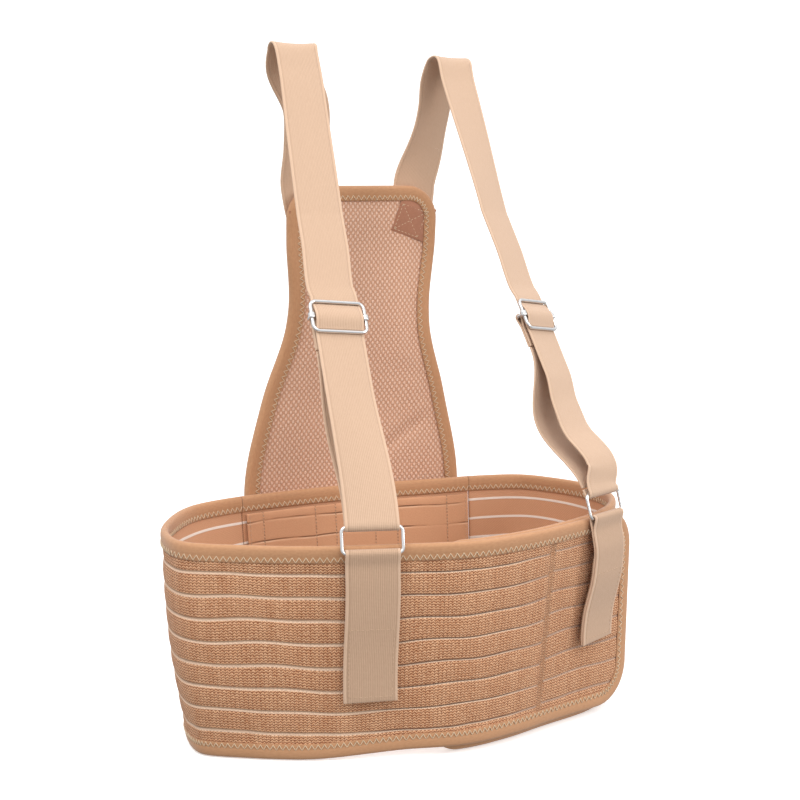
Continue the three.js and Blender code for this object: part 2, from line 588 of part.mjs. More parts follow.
for (const strap of STRAPS) {
  const { name, side, turn } = strap;
  const tabAlong = alongAt(strap.tabX, true);

  // The tab hangs against the belt or its flap: its bar is level with the belt's top edge.
  const rimAt = (along) => planAt(along).addScaledVector(outwardAt(along), flareAt(along));
  const across = rimAt(tabAlong + 1).sub(rimAt(tabAlong - 1)).normalize();
  const outFlat = vector(across.y, -across.x, 0);
  const down = onFlap(tabAlong, 0, 0).sub(onFlap(tabAlong, BELT_HEIGHT, 0)).normalize();
  const tabOut = down.clone().cross(across).normalize();
  if (tabOut.dot(outFlat) < 0) tabOut.negate();
  const lowBar = onFlap(tabAlong, BELT_HEIGHT + strap.ringHeight, 5.6);

  // The ring stands on the tab's bar and leans a little back.
  const ringUp = vector(0, 0, 1).addScaledVector(outFlat, -0.28).normalize();
  const ringPitch = RING.height - 2 * WIRE;
  const topBar = lowBar.clone().addScaledVector(ringUp, ringPitch);
  const ringCentre = lowBar.clone().addScaledVector(ringUp, ringPitch / 2);
  part(`ring_${name}`, wireLoop(ringCentre, across, ringUp, RING.width, RING.height), COLOUR.chrome, true);

  part(`tab_${name}`, foldedEnd(lowBar, across, down, tabOut, strap.tabLength, TAB.thickness / 2), COLOUR.webbing);
  const hookFace = -TAB.thickness / 2 - GAP;
  part(`tab_hook_${name}`, slab([-1, 1], [30, strap.tabLength - 2], (u, v, outside) => lowBar.clone()
    .addScaledVector(across, (u * (WEB_WIDTH - 3)) / 2)
    .addScaledVector(down, v)
    .addScaledVector(tabOut, outside ? hookFace : hookFace - TAB.hook)), COLOUR.hook);

  // The front run is straight from the ring's top bar to the chest.
  const chest = vector(side * strap.chestX, CHEST.y, CHEST.z);
  const rise = chest.clone().sub(topBar).normalize();
  rise.addScaledVector(across, -across.dot(rise)).normalize();
  const ringOut = across.clone().cross(rise).normalize();
  const wrap = WIRE + GAP + WEB / 2;
  const runFoot = topBar.clone().addScaledVector(ringOut, wrap);
  const runLength = chest.distanceTo(runFoot);
  const runUp = chest.clone().sub(runFoot).normalize();
  const bendLength = strap.reach - 50;
  const lowRun = new THREE.CubicBezierCurve3(
    runFoot,
    runFoot.clone().addScaledVector(rise, bendLength * 0.35),
    runFoot.clone().addScaledVector(runUp, bendLength * 0.65),
    runFoot.clone().addScaledVector(runUp, bendLength),
  );
  const ringTurn = THREE.MathUtils.radToDeg(Math.atan2(across.y, across.x));
  /** How far the slack webbing stands out sideways between the ring and the slider. */
  const bowAt = (distance) => (
    strap.buckle * smooth(distance, 2, 21) * (1 - smooth(distance, 24, 46))
    - strap.sag * smooth(distance, 36, 54) * (1 - smooth(distance, 70, 96))
  );
  /** The front run at a distance up from the ring: square to the ring's bar, then straight. */
  const runAt = (distance) => {
    const onLine = distance >= bendLength;
    return {
      at: onLine ? runFoot.clone().addScaledVector(runUp, distance) : lowRun.getPoint(distance / bendLength),
      tangent: onLine ? runUp : lowRun.getTangent(distance / bendLength),
      width: widthAxis(mix(ringTurn, turn.run, smooth(distance, 0, bendLength))),
    };
  };

  const rearPath = new THREE.CatmullRomCurve3([
    vector(side * HINGE.x, HINGE.y, HINGE.z + 0.9),
    vector(side * (HINGE.x + strap.rearX[0]), HINGE.y - 3, HINGE.z + 26),
    vector(side * (HINGE.x + strap.rearX[1]), HINGE.y - 9, HINGE.z + 58),
    vector(side * (strap.apexX - 2.5), APEX_Y + 15, strap.apex - 16),
    vector(side * (strap.apexX - 0.8), APEX_Y + 7, strap.apex - 3),
    vector(side * (strap.apexX + 0.6), APEX_Y - 3, strap.apex - 2.5),
    vector(side * mix(strap.apexX, strap.chestX, 0.1), APEX_Y - 13, strap.apex - 21),
    vector(side * mix(strap.apexX, strap.chestX, 0.55), mix(APEX_Y, CHEST.y, 0.6), mix(strap.apex, CHEST.z, 0.58)),
    chest,
  ], false, 'centripetal');
  const shoulderStations = steps(24).slice(0, -1).map((t) => ({
    at: rearPath.getPointAt(t),
    tangent: rearPath.getTangentAt(t),
    width: widthAxis(t < 0.2
      ? mix(0, turn.rear, smooth(t, 0, 0.2))
      : mix(mix(turn.rear, turn.apex, smooth(t, 0.2, 0.5)), turn.run, smooth(t, 0.5, 1))),
  }));
  Object.assign(shoulderStations[0], { tangent: vector(0, 0, 1), width: vector(1, 0, 0) });
  const fallen = runUp.clone().negate();
  const bowed = (distance) => runAt(distance).at.addScaledVector(BOW_WAY, bowAt(distance));
  const runStations = [...spaced(runLength - 1, 116, 60), ...spaced(116, 2, strap.buckle ? 8 : 14).slice(1)]
    .map((distance) => ({
      at: bowed(distance),
      tangent: bowed(distance - 1).sub(bowed(distance + 1)).normalize(),
      width: runAt(distance).width,
    }));
  const loopStations = steps(8).map((t) => {
    const angle = Math.PI * t;
    const outwards = ringOut.clone().multiplyScalar(Math.cos(angle)).addScaledVector(rise, -Math.sin(angle));
    const tangent = ringOut.clone().multiplyScalar(-Math.sin(angle)).addScaledVector(rise, -Math.cos(angle));
    return { at: topBar.clone().addScaledVector(outwards, wrap), tangent, width: across };
  });
  const returnFoot = topBar.clone().addScaledVector(ringOut, -wrap);
  const loopEnd = { at: returnFoot.clone().addScaledVector(rise, 5), tangent: rise, width: across };
  part(`shoulder_strap_${name}`, webbing([...shoulderStations, ...runStations, ...loopStations, loopEnd]), COLOUR.webbing);

  // The sewn root lies on the panel's outer face and bends up to the hinge line.
  const rootOut = PANEL_COVER.outer + TAPE_AIR + TAPE + GAP + WEB / 2;
  const lean = vector(side * Math.sin(rad(22)), 0, Math.cos(rad(22)));
  const rootTop = vector(side * HINGE.x, HINGE.y, HINGE.z - 0.9);
  const rootStations = [0, 12, 26].map((up) => {
    const place = onPanel(side * (HINGE.x - 12 + up * 0.33), 350 + up, rootOut);
    return { at: place, tangent: lean, width: vector(1, 0, 0) };
  });
  rootStations.push({ at: vector(side * (HINGE.x - 1), HINGE.y, HINGE.z - 9), tangent: vector(side * 0.12, 0, 1).normalize(), width: vector(1, 0, 0) });
  rootStations.push({ at: rootTop, tangent: vector(0, 0, 1), width: vector(1, 0, 0) });
  part(`strap_root_${name}`, webbing(rootStations), COLOUR.webbing);

  // The slider: a wire frame in front of the run, and a sliding bar behind it.
  const seat = runFoot.clone().addScaledVector(runUp, strap.reach);
  const seatAcross = widthAxis(turn.run);
  seatAcross.addScaledVector(runUp, -seatAcross.dot(runUp)).normalize();
  const seatOut = seatAcross.clone().cross(runUp).normalize();
  const frameOut = WEB / 2 + GAP + WIRE;
  const frameCentre = seat.clone().addScaledVector(seatOut, frameOut);
  part(`slider_frame_${name}`, wireLoop(frameCentre, seatAcross, runUp, SLIDER.width, SLIDER.height), COLOUR.chrome, true);

  const barOut = -(WEB / 2 + GAP + WEB + GAP + WIRE);
  const eyeX = SLIDER.width / 2 - WIRE;
  const local = (x, up, out) => seat.clone()
    .addScaledVector(seatAcross, x)
    .addScaledVector(runUp, up)
    .addScaledVector(seatOut, out);
  const pieces = [bar(local(-eyeX, 0, barOut), local(eyeX, 0, barOut), WIRE)];
  const bores = [];
  for (const x of [-eyeX, eyeX]) {
    pieces.push(bar(local(x, 0, barOut - 0.6), local(x, 0, frameOut), WIRE * 0.92));
    pieces.push(bar(local(x, -2.6, frameOut), local(x, 2.6, frameOut), WIRE + 1.2));
    bores.push(bar(local(x, -5, frameOut), local(x, 5, frameOut), WIRE + 0.15));
  }
  const joined = combine('add', ...pieces);
  part(`slider_bar_${name}`, facingOut(combine('subtract', joined, ...bores)), COLOUR.chrome, true);

  const barCentre = local(0, 0, barOut);
  part(`strap_end_${name}`, foldedEnd(
    barCentre, seatAcross, fallen, seatOut.clone(), FOLD_LENGTH, TAB.thickness / 2,
  ), COLOUR.webbing);

  // The return run climbs from the ring to the sewn end, with a little slack.
  const returnTop = strap.reach - FOLD_LENGTH - 0.6;
  const returnStations = steps(12).map((t) => {
    const distance = mix(5.6, returnTop, t);
    const { at, tangent, width } = runAt(distance);
    const square = width.clone().addScaledVector(tangent, -width.dot(tangent)).normalize();
    const out = square.cross(tangent).normalize();
    const slack = strap.slack * Math.sin(Math.PI * t) ** 2;
    const slope = (strap.slack * Math.PI * Math.sin(2 * Math.PI * t)) / (returnTop - 5.6);
    const offset = mix(-2 * wrap, barOut, t) - slack;
    return {
      at: at.clone().addScaledVector(out, offset),
      tangent: tangent.clone().addScaledVector(out, -slope).normalize(),
      width,
    };
  });
  part(`strap_return_${name}`, webbing(returnStations), COLOUR.webbing);
}

// The origin is the middle of the footprint, on the surface that the belt stands on.
brace.updateMatrixWorld(true);
const extent = new THREE.Box3().setFromObject(brace);
const middle = extent.getCenter(new THREE.Vector3());
brace.position.set(-middle.x, -middle.y, -extent.min.z);

export default brace;
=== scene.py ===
# %% [markdown]
# # A back brace in soft goods
# The brace is a wide elastic belt that closes at the belly, a tall mesh panel up the
# spine and two webbing straps that hook back onto the belt. The CAD model fixes where
# every piece is and what moves; this script gives the pieces their cloth, thread and
# wire. It starts by loading that model as a frame that never changes.

# %% Load the frame
import json
import math

import bpy
import numpy as np
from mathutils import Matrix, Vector


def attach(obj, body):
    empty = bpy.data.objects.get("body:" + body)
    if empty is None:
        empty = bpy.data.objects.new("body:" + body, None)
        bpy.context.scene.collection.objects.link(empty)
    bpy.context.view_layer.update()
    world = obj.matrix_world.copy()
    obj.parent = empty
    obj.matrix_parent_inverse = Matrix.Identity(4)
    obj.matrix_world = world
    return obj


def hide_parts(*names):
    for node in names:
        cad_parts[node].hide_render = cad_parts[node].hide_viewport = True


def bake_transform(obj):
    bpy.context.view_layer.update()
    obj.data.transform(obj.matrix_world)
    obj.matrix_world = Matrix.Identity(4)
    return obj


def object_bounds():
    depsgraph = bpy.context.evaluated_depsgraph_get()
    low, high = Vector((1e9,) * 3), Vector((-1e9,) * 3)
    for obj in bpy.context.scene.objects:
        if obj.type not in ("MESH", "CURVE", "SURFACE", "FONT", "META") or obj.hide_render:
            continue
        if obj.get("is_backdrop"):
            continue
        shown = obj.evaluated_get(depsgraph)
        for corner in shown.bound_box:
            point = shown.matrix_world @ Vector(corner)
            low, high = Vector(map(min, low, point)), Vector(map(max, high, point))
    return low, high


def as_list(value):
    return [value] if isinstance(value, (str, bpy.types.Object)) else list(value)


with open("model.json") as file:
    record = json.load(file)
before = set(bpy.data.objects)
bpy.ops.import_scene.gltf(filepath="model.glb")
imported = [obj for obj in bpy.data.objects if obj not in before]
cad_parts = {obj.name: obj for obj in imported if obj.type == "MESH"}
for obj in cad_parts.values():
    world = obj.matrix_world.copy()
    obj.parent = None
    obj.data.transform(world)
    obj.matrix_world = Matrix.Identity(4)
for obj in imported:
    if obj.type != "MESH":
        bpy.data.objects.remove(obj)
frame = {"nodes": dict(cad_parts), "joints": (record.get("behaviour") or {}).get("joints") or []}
cad_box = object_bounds()
joints = {j["name"]: j for j in frame["joints"]}

# %% [markdown]
# ## Sizes
# Patterns for sewn goods are drawn flat, in millimetres, before they are wrapped round
# a body, and so are these. The straps hinge on the panel's top edge, which gives the
# place of the pattern's own origin in the frame.

# %% The sizes that the pieces share
BELT_HEIGHT = 155
ELASTIC = 2.4
TAPE, TAPE_AIR = 0.9, 0.6
EDGE = TAPE + 0.3
LAP = 5.8
CORNER = 30
FLARE_OUT, FLARE_LENGTH = 9.5, 62
STRIPES, STRIPE_PITCH, FIRST_STRIPE = 8, 16.3, 20.45
WEB_HALF, WEB = 18.75, 1.5
WIRE, GAP = 1.25, 0.3
HINGE = np.array([50, 111.2, 397.5])
right_hinge, left_hinge = (1000 * np.array(joints[f"strap_{s}_swing"]["pos_m"]) for s in ("right", "left"))
ORIGIN = np.array([(right_hinge[0] + left_hinge[0]) / 2, right_hinge[1] - HINGE[1], 0])


def smooth(x, low, high):
    t = np.clip((np.asarray(x, float) - low) / (high - low), 0, 1)
    return t * t * (3 - 2 * t)


def mix(a, b, t):
    return a + (b - a) * t


def unit(v):
    return v / np.linalg.norm(v, axis=-1, keepdims=True)


def vec(*numbers):
    return np.array(numbers, float)


def in_frame(points):
    """Pattern millimetres to metres in the frame."""
    return (np.asarray(points, float) + ORIGIN) * 0.001


print("origin of the pattern, mm:", ORIGIN.round(2))

# %% [markdown]
# ## The line round the body
# A belt that stands by itself takes a soft egg shape. A centripetal Catmull-Rom curve
# through a few points keeps such a shape free of loops and bumps, where a Bezier would
# need a handle at every point. Places on the belt are then told by the distance along
# this line, as a tape measure would.


# %% A smooth line through points
def spline(points, closed, count=60):
    p = np.array(points, float)
    n = len(p)
    if not closed:
        p = np.vstack([p, 2 * p[-1] - p[-2], 2 * p[0] - p[1]])
    found = []
    t = (np.arange(count) / count)[:, None]
    for i in range(n if closed else n - 1):
        p0, p1, p2, p3 = (p[(i + k) % len(p)] for k in (-1, 0, 1, 2))
        d0, d1, d2 = (np.linalg.norm(b - a) ** 0.5 for a, b in ((p0, p1), (p1, p2), (p2, p3)))
        m1 = ((p1 - p0) / d0 - (p2 - p0) / (d0 + d1) + (p2 - p1) / d1) * d1
        m2 = ((p2 - p1) / d1 - (p3 - p1) / (d1 + d2) + (p3 - p2) / d2) * d1
        found.append(p1 + m1 * t + (3 * (p2 - p1) - 2 * m1 - m2) * t**2 + (2 * (p1 - p2) + m1 + m2) * t**3)
    return np.vstack([*found, p[0] if closed else p[n - 1]])


def lengths(line):
    return np.concatenate([[0], np.cumsum(np.linalg.norm(np.diff(line, axis=0), axis=1))])


def at_length(line, where):
    """Points of a line at distances along it."""
    run = lengths(line)
    return np.stack([np.interp(where, run, line[:, k]) for k in range(line.shape[1])], -1)


PLAN = spline(
    [
        (-20, 107), (-72, 106), (-125, 99), (-158, 85), (-188, 50), (-207, 10), (-208, -28), (-177, -58),
        (-134, -85), (-78, -107), (-30, -121), (16, -117), (60, -104), (104, -84), (141, -52),
        (159, -16), (160, 20), (150, 52), (134, 79), (104, 91), (60, 97), (20, 103),
    ],
    closed=True,
)
GIRTH = lengths(PLAN)[-1]


def plan_at(along):
    return at_length(PLAN, np.mod(along, GIRTH))


def tangent_at(along):
    return unit(plan_at(np.asarray(along) + 0.6) - plan_at(np.asarray(along) - 0.6))


def along_at(x, front):
    """Where the belt's line passes a given x, at the front or the back."""
    where = GIRTH * np.arange(801) / 800
    line = plan_at(where)
    side = (line[:, 1] < 0) == front
    return where[side][np.abs(line[side, 0] - x).argmin()]


SEAM, FLAP_END, INNER_END = along_at(42, True), along_at(129, True), along_at(-64, True)
REAR_RIGHT, REAR_LEFT, SIDE_LEFT = along_at(-110, False), along_at(90, False), along_at(157, False)
print(f"girth {GIRTH:.1f} mm, flap seam at {SEAM:.1f}, flap end at {FLAP_END:.1f}")

# %% [markdown]
# ## Laying a flat pattern round the belt
# One function carries every belt piece from the flat (along, up, out) to its place, so
# cloth, tape and thread always lie on each other. The elastic is not a stiff tube: it
# swells like a barrel over the hip, which the same function adds for every layer.


# %% From flat to round
def barrel(along, up):
    """How far the belt swells out over the wearer's right hip, in mm."""
    where = smooth(along, 150, 235) * (1 - smooth(along, 275, 372))
    return 5.2 * where * 4 * (up / BELT_HEIGHT) * (1 - np.clip(up, 0, BELT_HEIGHT) / BELT_HEIGHT)


def on_belt(along, up, out):
    along, up, out = np.broadcast_arrays(*(np.asarray(v, float) for v in (along, up, out)))
    flat = plan_at(along)
    t = tangent_at(along)
    inset = mix(16, 2, smooth(flat[..., 0], 40, 150)) * (1 - up / BELT_HEIGHT)
    reach = out - inset + barrel(np.mod(along, GIRTH), up)
    return np.stack([flat[..., 0] + t[..., 1] * reach, flat[..., 1] - t[..., 0] * reach, up], -1)


def lap_at(along):
    return LAP * (1 - smooth(along, FLAP_END + 6, SIDE_LEFT + 30))


def hem_at(along):
    return 5 * smooth(along, INNER_END - 90, INNER_END)


def on_flap(along, up, out):
    """The outer wing and flap, whose free end stands off the wing under it."""
    flare = FLARE_OUT * np.clip((np.asarray(along, float) - FLAP_END) / FLARE_LENGTH + 1, 0, None) ** 2
    return on_belt(along, up, out + flare)


print("belly seam, top, in the frame:", in_frame(on_belt(SEAM, BELT_HEIGHT, 0)).round(4))

# %% [markdown]
# ## Making meshes
# A piece of cloth is two faces that meet in a rounded edge. `skin` takes the two faces
# as grids and closes them all round, which gives one solid piece that can be shaded
# from both sides. It also keeps each point's place on the flat pattern, in millimetres,
# so that a weave follows the cloth however the piece is bent.


# %% A closed piece of cloth
def mesh_piece(name, points, faces, flat, finish, slot):
    mesh = bpy.data.meshes.new(name)
    mesh.from_pydata(np.round(in_frame(points), 7).tolist(), [], faces)
    mesh.polygons.foreach_set("use_smooth", [True] * len(mesh.polygons))
    pattern = mesh.attributes.new("flat", "FLOAT_VECTOR", "POINT")
    pattern.data.foreach_set("vector", np.asarray(flat, np.float32).ravel())
    mesh.materials.append(finish)
    piece = bpy.data.objects.new(name, mesh)
    bpy.context.scene.collection.objects.link(piece)
    return piece


def skin(name, outer, inner, flat, finish, slot, closed=False):
    n, m = outer.shape[:2]
    points = np.concatenate([outer.reshape(-1, 3), inner.reshape(-1, 3)])
    marks = np.concatenate([np.c_[flat.reshape(-1, 2), np.full(n * m, s)] for s in (1.0, 0.0)])
    at = np.arange(n * m).reshape(n, m)
    nxt = np.roll(at, -1, 0) if closed else at[1:]
    here = at if closed else at[:-1]
    grid = np.stack([here[:, :-1], nxt[:, :-1], nxt[:, 1:], here[:, 1:]], -1).reshape(-1, 4)
    rims = []
    for line, after, flip in ((here[:, 0], nxt[:, 0], 1), (here[:, -1], nxt[:, -1], 0)):
        rims.append(np.stack([line, after, after + n * m, line + n * m], -1)[:, :: -1 if flip else 1])
    if not closed:
        for row, flip in ((at[0], 0), (at[-1], 1)):
            rim = np.stack([row[:-1], row[1:], row[1:] + n * m, row[:-1] + n * m], -1)
            rims.append(rim[:, :: -1 if flip else 1])
    faces = np.concatenate([grid, grid[:, ::-1] + n * m, *[r[:, ::-1] for r in rims]])
    _, first, same = np.unique(np.round(points, 4), axis=0, return_index=True, return_inverse=True)
    same = same.ravel()
    faces = same[faces]
    corners = points[first][faces]
    volume = np.einsum("ij,ij->", corners[:, 0], np.cross(corners[:, 1], corners[:, 2]))
    volume += np.einsum("ij,ij->", corners[:, 0], np.cross(corners[:, 2], corners[:, 3]))
    if volume < 0:
        faces = faces[:, ::-1]
    whole = (faces != np.roll(faces, 1, 1)).all(1)
    whole = whole & (faces[:, 0] != faces[:, 2]) & (faces[:, 1] != faces[:, 3])
    kept = faces[whole].tolist()
    for f in faces[~whole].tolist():
        corner = list(dict.fromkeys(f))
        if len(corner) == 3:
            kept.append(corner)
    return mesh_piece(name, points[first], kept, marks[first], finish, slot)


def edge_round(distance, radius):
    """Share of a cloth's thickness that is left this near its edge."""
    return np.sqrt(np.clip(1 - (1 - np.clip(distance, 0, radius) / radius) ** 2, 0, 1))


def stations(low, high, pitch, ends=(0, 0.15, 0.5, 1.2, 2.4)):
    """Places from low to high, closer together at both ends where an edge is rounded."""
    middle = np.linspace(low + ends[-1], high - ends[-1], max(2, round((high - low) / pitch)))
    return np.concatenate([low + np.array(ends[:-1]), middle, high - np.array(ends[:-1])[::-1]])


# %% [markdown]
# Wire and thread are both swept circles. Thread gets five sides, which is enough for
# something a third of a millimetre thick, and polished wire gets twenty so that its
# highlight runs clean. Many threads are joined into one piece, as one seam is.


# %% A swept round section
def tubes(name, runs, radius, sides, finish, slot, closed=False):
    """runs: (points, normals) for each wire or stitch; radius: mm, or a list along each run."""
    points, faces, flat = [], [], []
    turn = 2 * math.pi * np.arange(sides) / sides
    count = 0
    for line, normal in runs:
        line, n = np.asarray(line, float), len(line)
        ahead = np.roll(line, -1, 0) - np.roll(line, 1, 0) if closed else np.gradient(line, axis=0)
        ahead = unit(ahead)
        out = unit(normal - (normal * ahead).sum(-1, keepdims=True) * ahead)
        side = np.cross(ahead, out)
        thick = np.broadcast_to(radius, n)[:, None, None]
        ring = out[:, None] * np.cos(turn)[:, None] + side[:, None] * np.sin(turn)[:, None]
        points.append((line[:, None] + ring * thick).reshape(-1, 3))
        run = lengths(line)
        flat.append(np.stack([np.repeat(run, sides), np.tile(turn, n), np.ones(n * sides)], -1))
        for i in range(n if closed else n - 1):
            j = (i + 1) % n
            for k in range(sides):
                q = (k + 1) % sides
                here, there = count + i * sides, count + j * sides
                faces.append((here + k, here + q, there + q, there + k))
        if not closed:
            faces.append(tuple(count + k for k in range(sides))[::-1])
            faces.append(tuple(count + (n - 1) * sides + k for k in range(sides)))
        count += n * sides
    points = np.concatenate(points)
    return mesh_piece(name, points, faces, np.concatenate(flat), finish, slot)


print("mesh helpers ready")

# %% [markdown]
# ## Finishes
# A finish is a small sum: how near a yarn, how deep a groove, what colour there. `Value`
# wraps a socket so that such a sum can be written as one, and `Finish` adds every other
# kind of node through one method. The flat pattern's millimetres come in as numbers, so
# a yarn's pitch can be written down as it would be measured with a rule.


# %% Shader sums
class Value:
    """A number or colour in a finish, taken from a node's socket."""

    def __init__(self, finish, socket):
        self.finish, self.socket = finish, socket

    def calc(self, operation, *others):
        return self.finish.make("Math", {"operation": operation}, [self, *others])

    def __add__(self, other):
        return self.calc("ADD", other)

    def __sub__(self, other):
        return self.calc("SUBTRACT", other)

    def __rsub__(self, other):
        return self.finish.make("Math", {"operation": "SUBTRACT"}, [other, self])

    def __mul__(self, other):
        return self.calc("MULTIPLY", other)

    def __truediv__(self, other):
        return self.calc("DIVIDE", other)

    __radd__, __rmul__ = __add__, __mul__

    def sine(self):
        return self.calc("SINE")

    def size(self):
        return self.calc("ABSOLUTE")

    def wrap(self, half):
        """Repeats from -half to half."""
        return self.calc("WRAP", half, -half)

    def step(self, low, high):
        """0 below low to 1 above high, smoothly. Low may be the larger."""
        return self.finish.make(
            "MapRange", {"interpolation_type": "SMOOTHSTEP"}, {0: self, 1: low, 2: high, 3: 0.0, 4: 1.0}
        )


class Finish:
    """A material whose pattern is drawn in the flat pattern's millimetres."""

    def __init__(self, name, roughness=0.9, metallic=0.0, sheen=0.0, specular=0.25):
        self.material = bpy.data.materials.new(name)
        self.material.use_nodes = True
        self.nodes = self.material.node_tree.nodes
        self.links = self.material.node_tree.links
        self.shader = self.nodes["Principled BSDF"]
        for socket, value in (
            ("Roughness", roughness),
            ("Metallic", metallic),
            ("Sheen Weight", sheen),
            ("Sheen Roughness", 0.45),
            ("Specular IOR Level", specular),
        ):
            self.shader.inputs[socket].default_value = value
        place = self.make("Attribute", {"attribute_name": "flat"}, {}, out="Vector")
        split = self.make("SeparateXYZ", {}, [place])
        self.place = place
        self.along, self.up, self.face = (Value(self, split.socket.node.outputs[k]) for k in range(3))

    def make(self, kind, settings, sockets, out=0):
        node = self.nodes.new("ShaderNode" + kind)
        for name, value in settings.items():
            setattr(node, name, value)
        for key, value in sockets.items() if isinstance(sockets, dict) else enumerate(sockets):
            if isinstance(value, Value):
                self.links.new(value.socket, node.inputs[key])
            else:
                node.inputs[key].default_value = value
        return Value(self, node.outputs[out])

    def mixed(self, low, high, share):
        """Between two colours."""
        low, high = ((*c, 1.0) if isinstance(c, tuple) else c for c in (low, high))
        return self.make("Mix", {"data_type": "RGBA"}, {0: share, 6: low, 7: high}, out=2)

    def spot(self, along_scale, up_scale, detail=2.0):
        """Uneven cloth: noise from 0 to 1, stretched as wanted, in patches per millimetre."""
        stretched = self.make(
            "VectorMath", {"operation": "MULTIPLY"}, {0: self.place, 1: (along_scale, up_scale, 3.0)}
        )
        return self.make("TexNoise", {}, {"Vector": stretched, "Scale": 1.0, "Detail": detail})

    def colour(self, value):
        self.links.new(value.socket, self.shader.inputs["Base Color"])

    def relief(self, height, strength=1.0):
        """height is in millimetres."""
        bump = self.make("Bump", {}, {"Strength": strength, "Distance": 0.001, "Height": height})
        self.links.new(bump.socket, self.shader.inputs["Normal"])

    def rough(self, value):
        self.links.new(value.socket, self.shader.inputs["Roughness"])


TURN = 2 * math.pi
print("shader helpers ready")

# %% [markdown]
# ### Belt elastic
# The belt is a warp knit: columns of little chevrons 3 mm wide and a course every
# 1.95 mm, with painted shade in the pits and gaps between the yarns and a painted
# highlight on the crests. Every 16 mm a drawn thread makes a channel of pale yarn. Its
# light and shade are painted into the colour: over the hip a painted highlight below it
# and painted shade above it, across the belly a painted shadow as a dark slit, and on
# the flap a fuzzy grey line; inside the belt it is white.


# %% Belt elastic
def make_elastic():
    f = Finish("belt_elastic", roughness=0.92, sheen=0.12)
    uneven = f.spot(0.35, 0.5)
    column = (f.along + uneven * 1.2).wrap(1.5).size()
    course = (f.up + uneven * 1.6) / 1.95 + column * 0.4
    rows = (course * TURN).sine()
    fine = f.spot(0.9, 1.3)
    # Painted shade: the gaps between columns and the pits between courses are darkened, where shade falls.
    gap = column.step(0.95, 1.45)
    pit = (rows * -1).step(-0.2, 0.8) * (0.25 + fine * 1.1)
    dark = (pit + gap * fine.step(0.4, 0.6) * 0.6).calc("MINIMUM", 1.0)
    streaks = f.spot(0.16, 0.012)
    yarn = f.mixed((0.66, 0.325, 0.165), (0.77, 0.415, 0.225), streaks.step(0.3, 0.72))
    # Painted highlight: the crests of the courses are lightened.
    yarn = f.mixed(yarn, (0.86, 0.575, 0.37), (rows.step(0.2, 0.9) * fine.step(0.42, 0.62)) * 0.9)
    # The painted shade of the pits and gaps is laid into the colour here.
    outside = f.mixed(yarn, (0.235, 0.062, 0.02), dark * 0.9)
    near = (f.up - FIRST_STRIPE).wrap(STRIPE_PITCH / 2)
    fuzz = f.spot(1.3, 0.9)
    to_belly = f.along.step(392, 424)
    to_flap = f.along.step(SEAM - 42, SEAM - 4)
    off_seam = (f.along - SEAM).size().step(2.4, 4.4)
    wide = (near.size() + to_belly * 0.5 + fuzz * 0.35).step(1.75, 1.15)
    pale = wide * off_seam
    # Over the hip: the drawn thread's pale yarn, with a painted highlight below the groove and painted shade
    # above it.
    hip = f.mixed((0.50, 0.31, 0.20), (0.80, 0.575, 0.42), (near - fuzz * 0.5).step(0.6, -0.2))
    # Across the belly: a painted shadow, a dark slit in the groove, above the pale yarn.
    belly = f.mixed((0.16, 0.09, 0.06), (0.78, 0.57, 0.42), (near + fuzz * 0.3).step(0.35, -0.3))
    flap = f.mixed((0.36, 0.25, 0.195), (0.64, 0.50, 0.41), fuzz.step(0.35, 0.65))
    # thread carries the drawn thread's colour together with its painted highlight, painted shade and painted
    # shadow.
    thread = f.mixed(f.mixed(hip, belly, to_belly), flap, to_flap)
    outside = f.mixed(outside, thread, pale * (0.9 - to_flap * fuzz * 0.6))
    ribs = ((f.along - SEAM) * (TURN / 1.6)).sine()
    strip = (f.along - SEAM).size().step(3.6, 2.6)
    outside = f.mixed(outside, (0.46, 0.225, 0.11), strip * (0.3 + ribs * 0.3))
    twill = ((f.along + f.up) * (TURN / 1.5)).sine() * 0.5 + 0.5
    inside = f.mixed((0.54, 0.255, 0.135), (0.80, 0.455, 0.275), twill * 0.6 + fine * 0.4)
    white = near.size().step(1.25, 0.7)
    inside = f.mixed(inside, (0.96, 0.86, 0.77), white * 0.95)
    f.colour(f.mixed(inside, outside, f.face))
    outer_relief = dark * -0.42 + fine * 0.12 - pale * 0.12 + strip * ribs * 0.2
    f.relief(outer_relief * f.face + (twill * 0.12 + white * 0.2) * (1 - f.face))
    return f.material


elastic_finish = make_elastic()

# %% [markdown]
# ### Lining
# Behind the back the belt is lined with a smooth diagonal knit that hides the steel
# stays. It is gathered along the same threads as the elastic in fine creases that come
# and go, with painted shade as dark slits in them and a painted highlight on each
# crease's lower lip, and it is stitched down beside each stay.


# %% Lining and cover
CHANNELS = [along_at(x, False) for x in (-110, -93, -47, -28, 7, 26, 68, 89)]


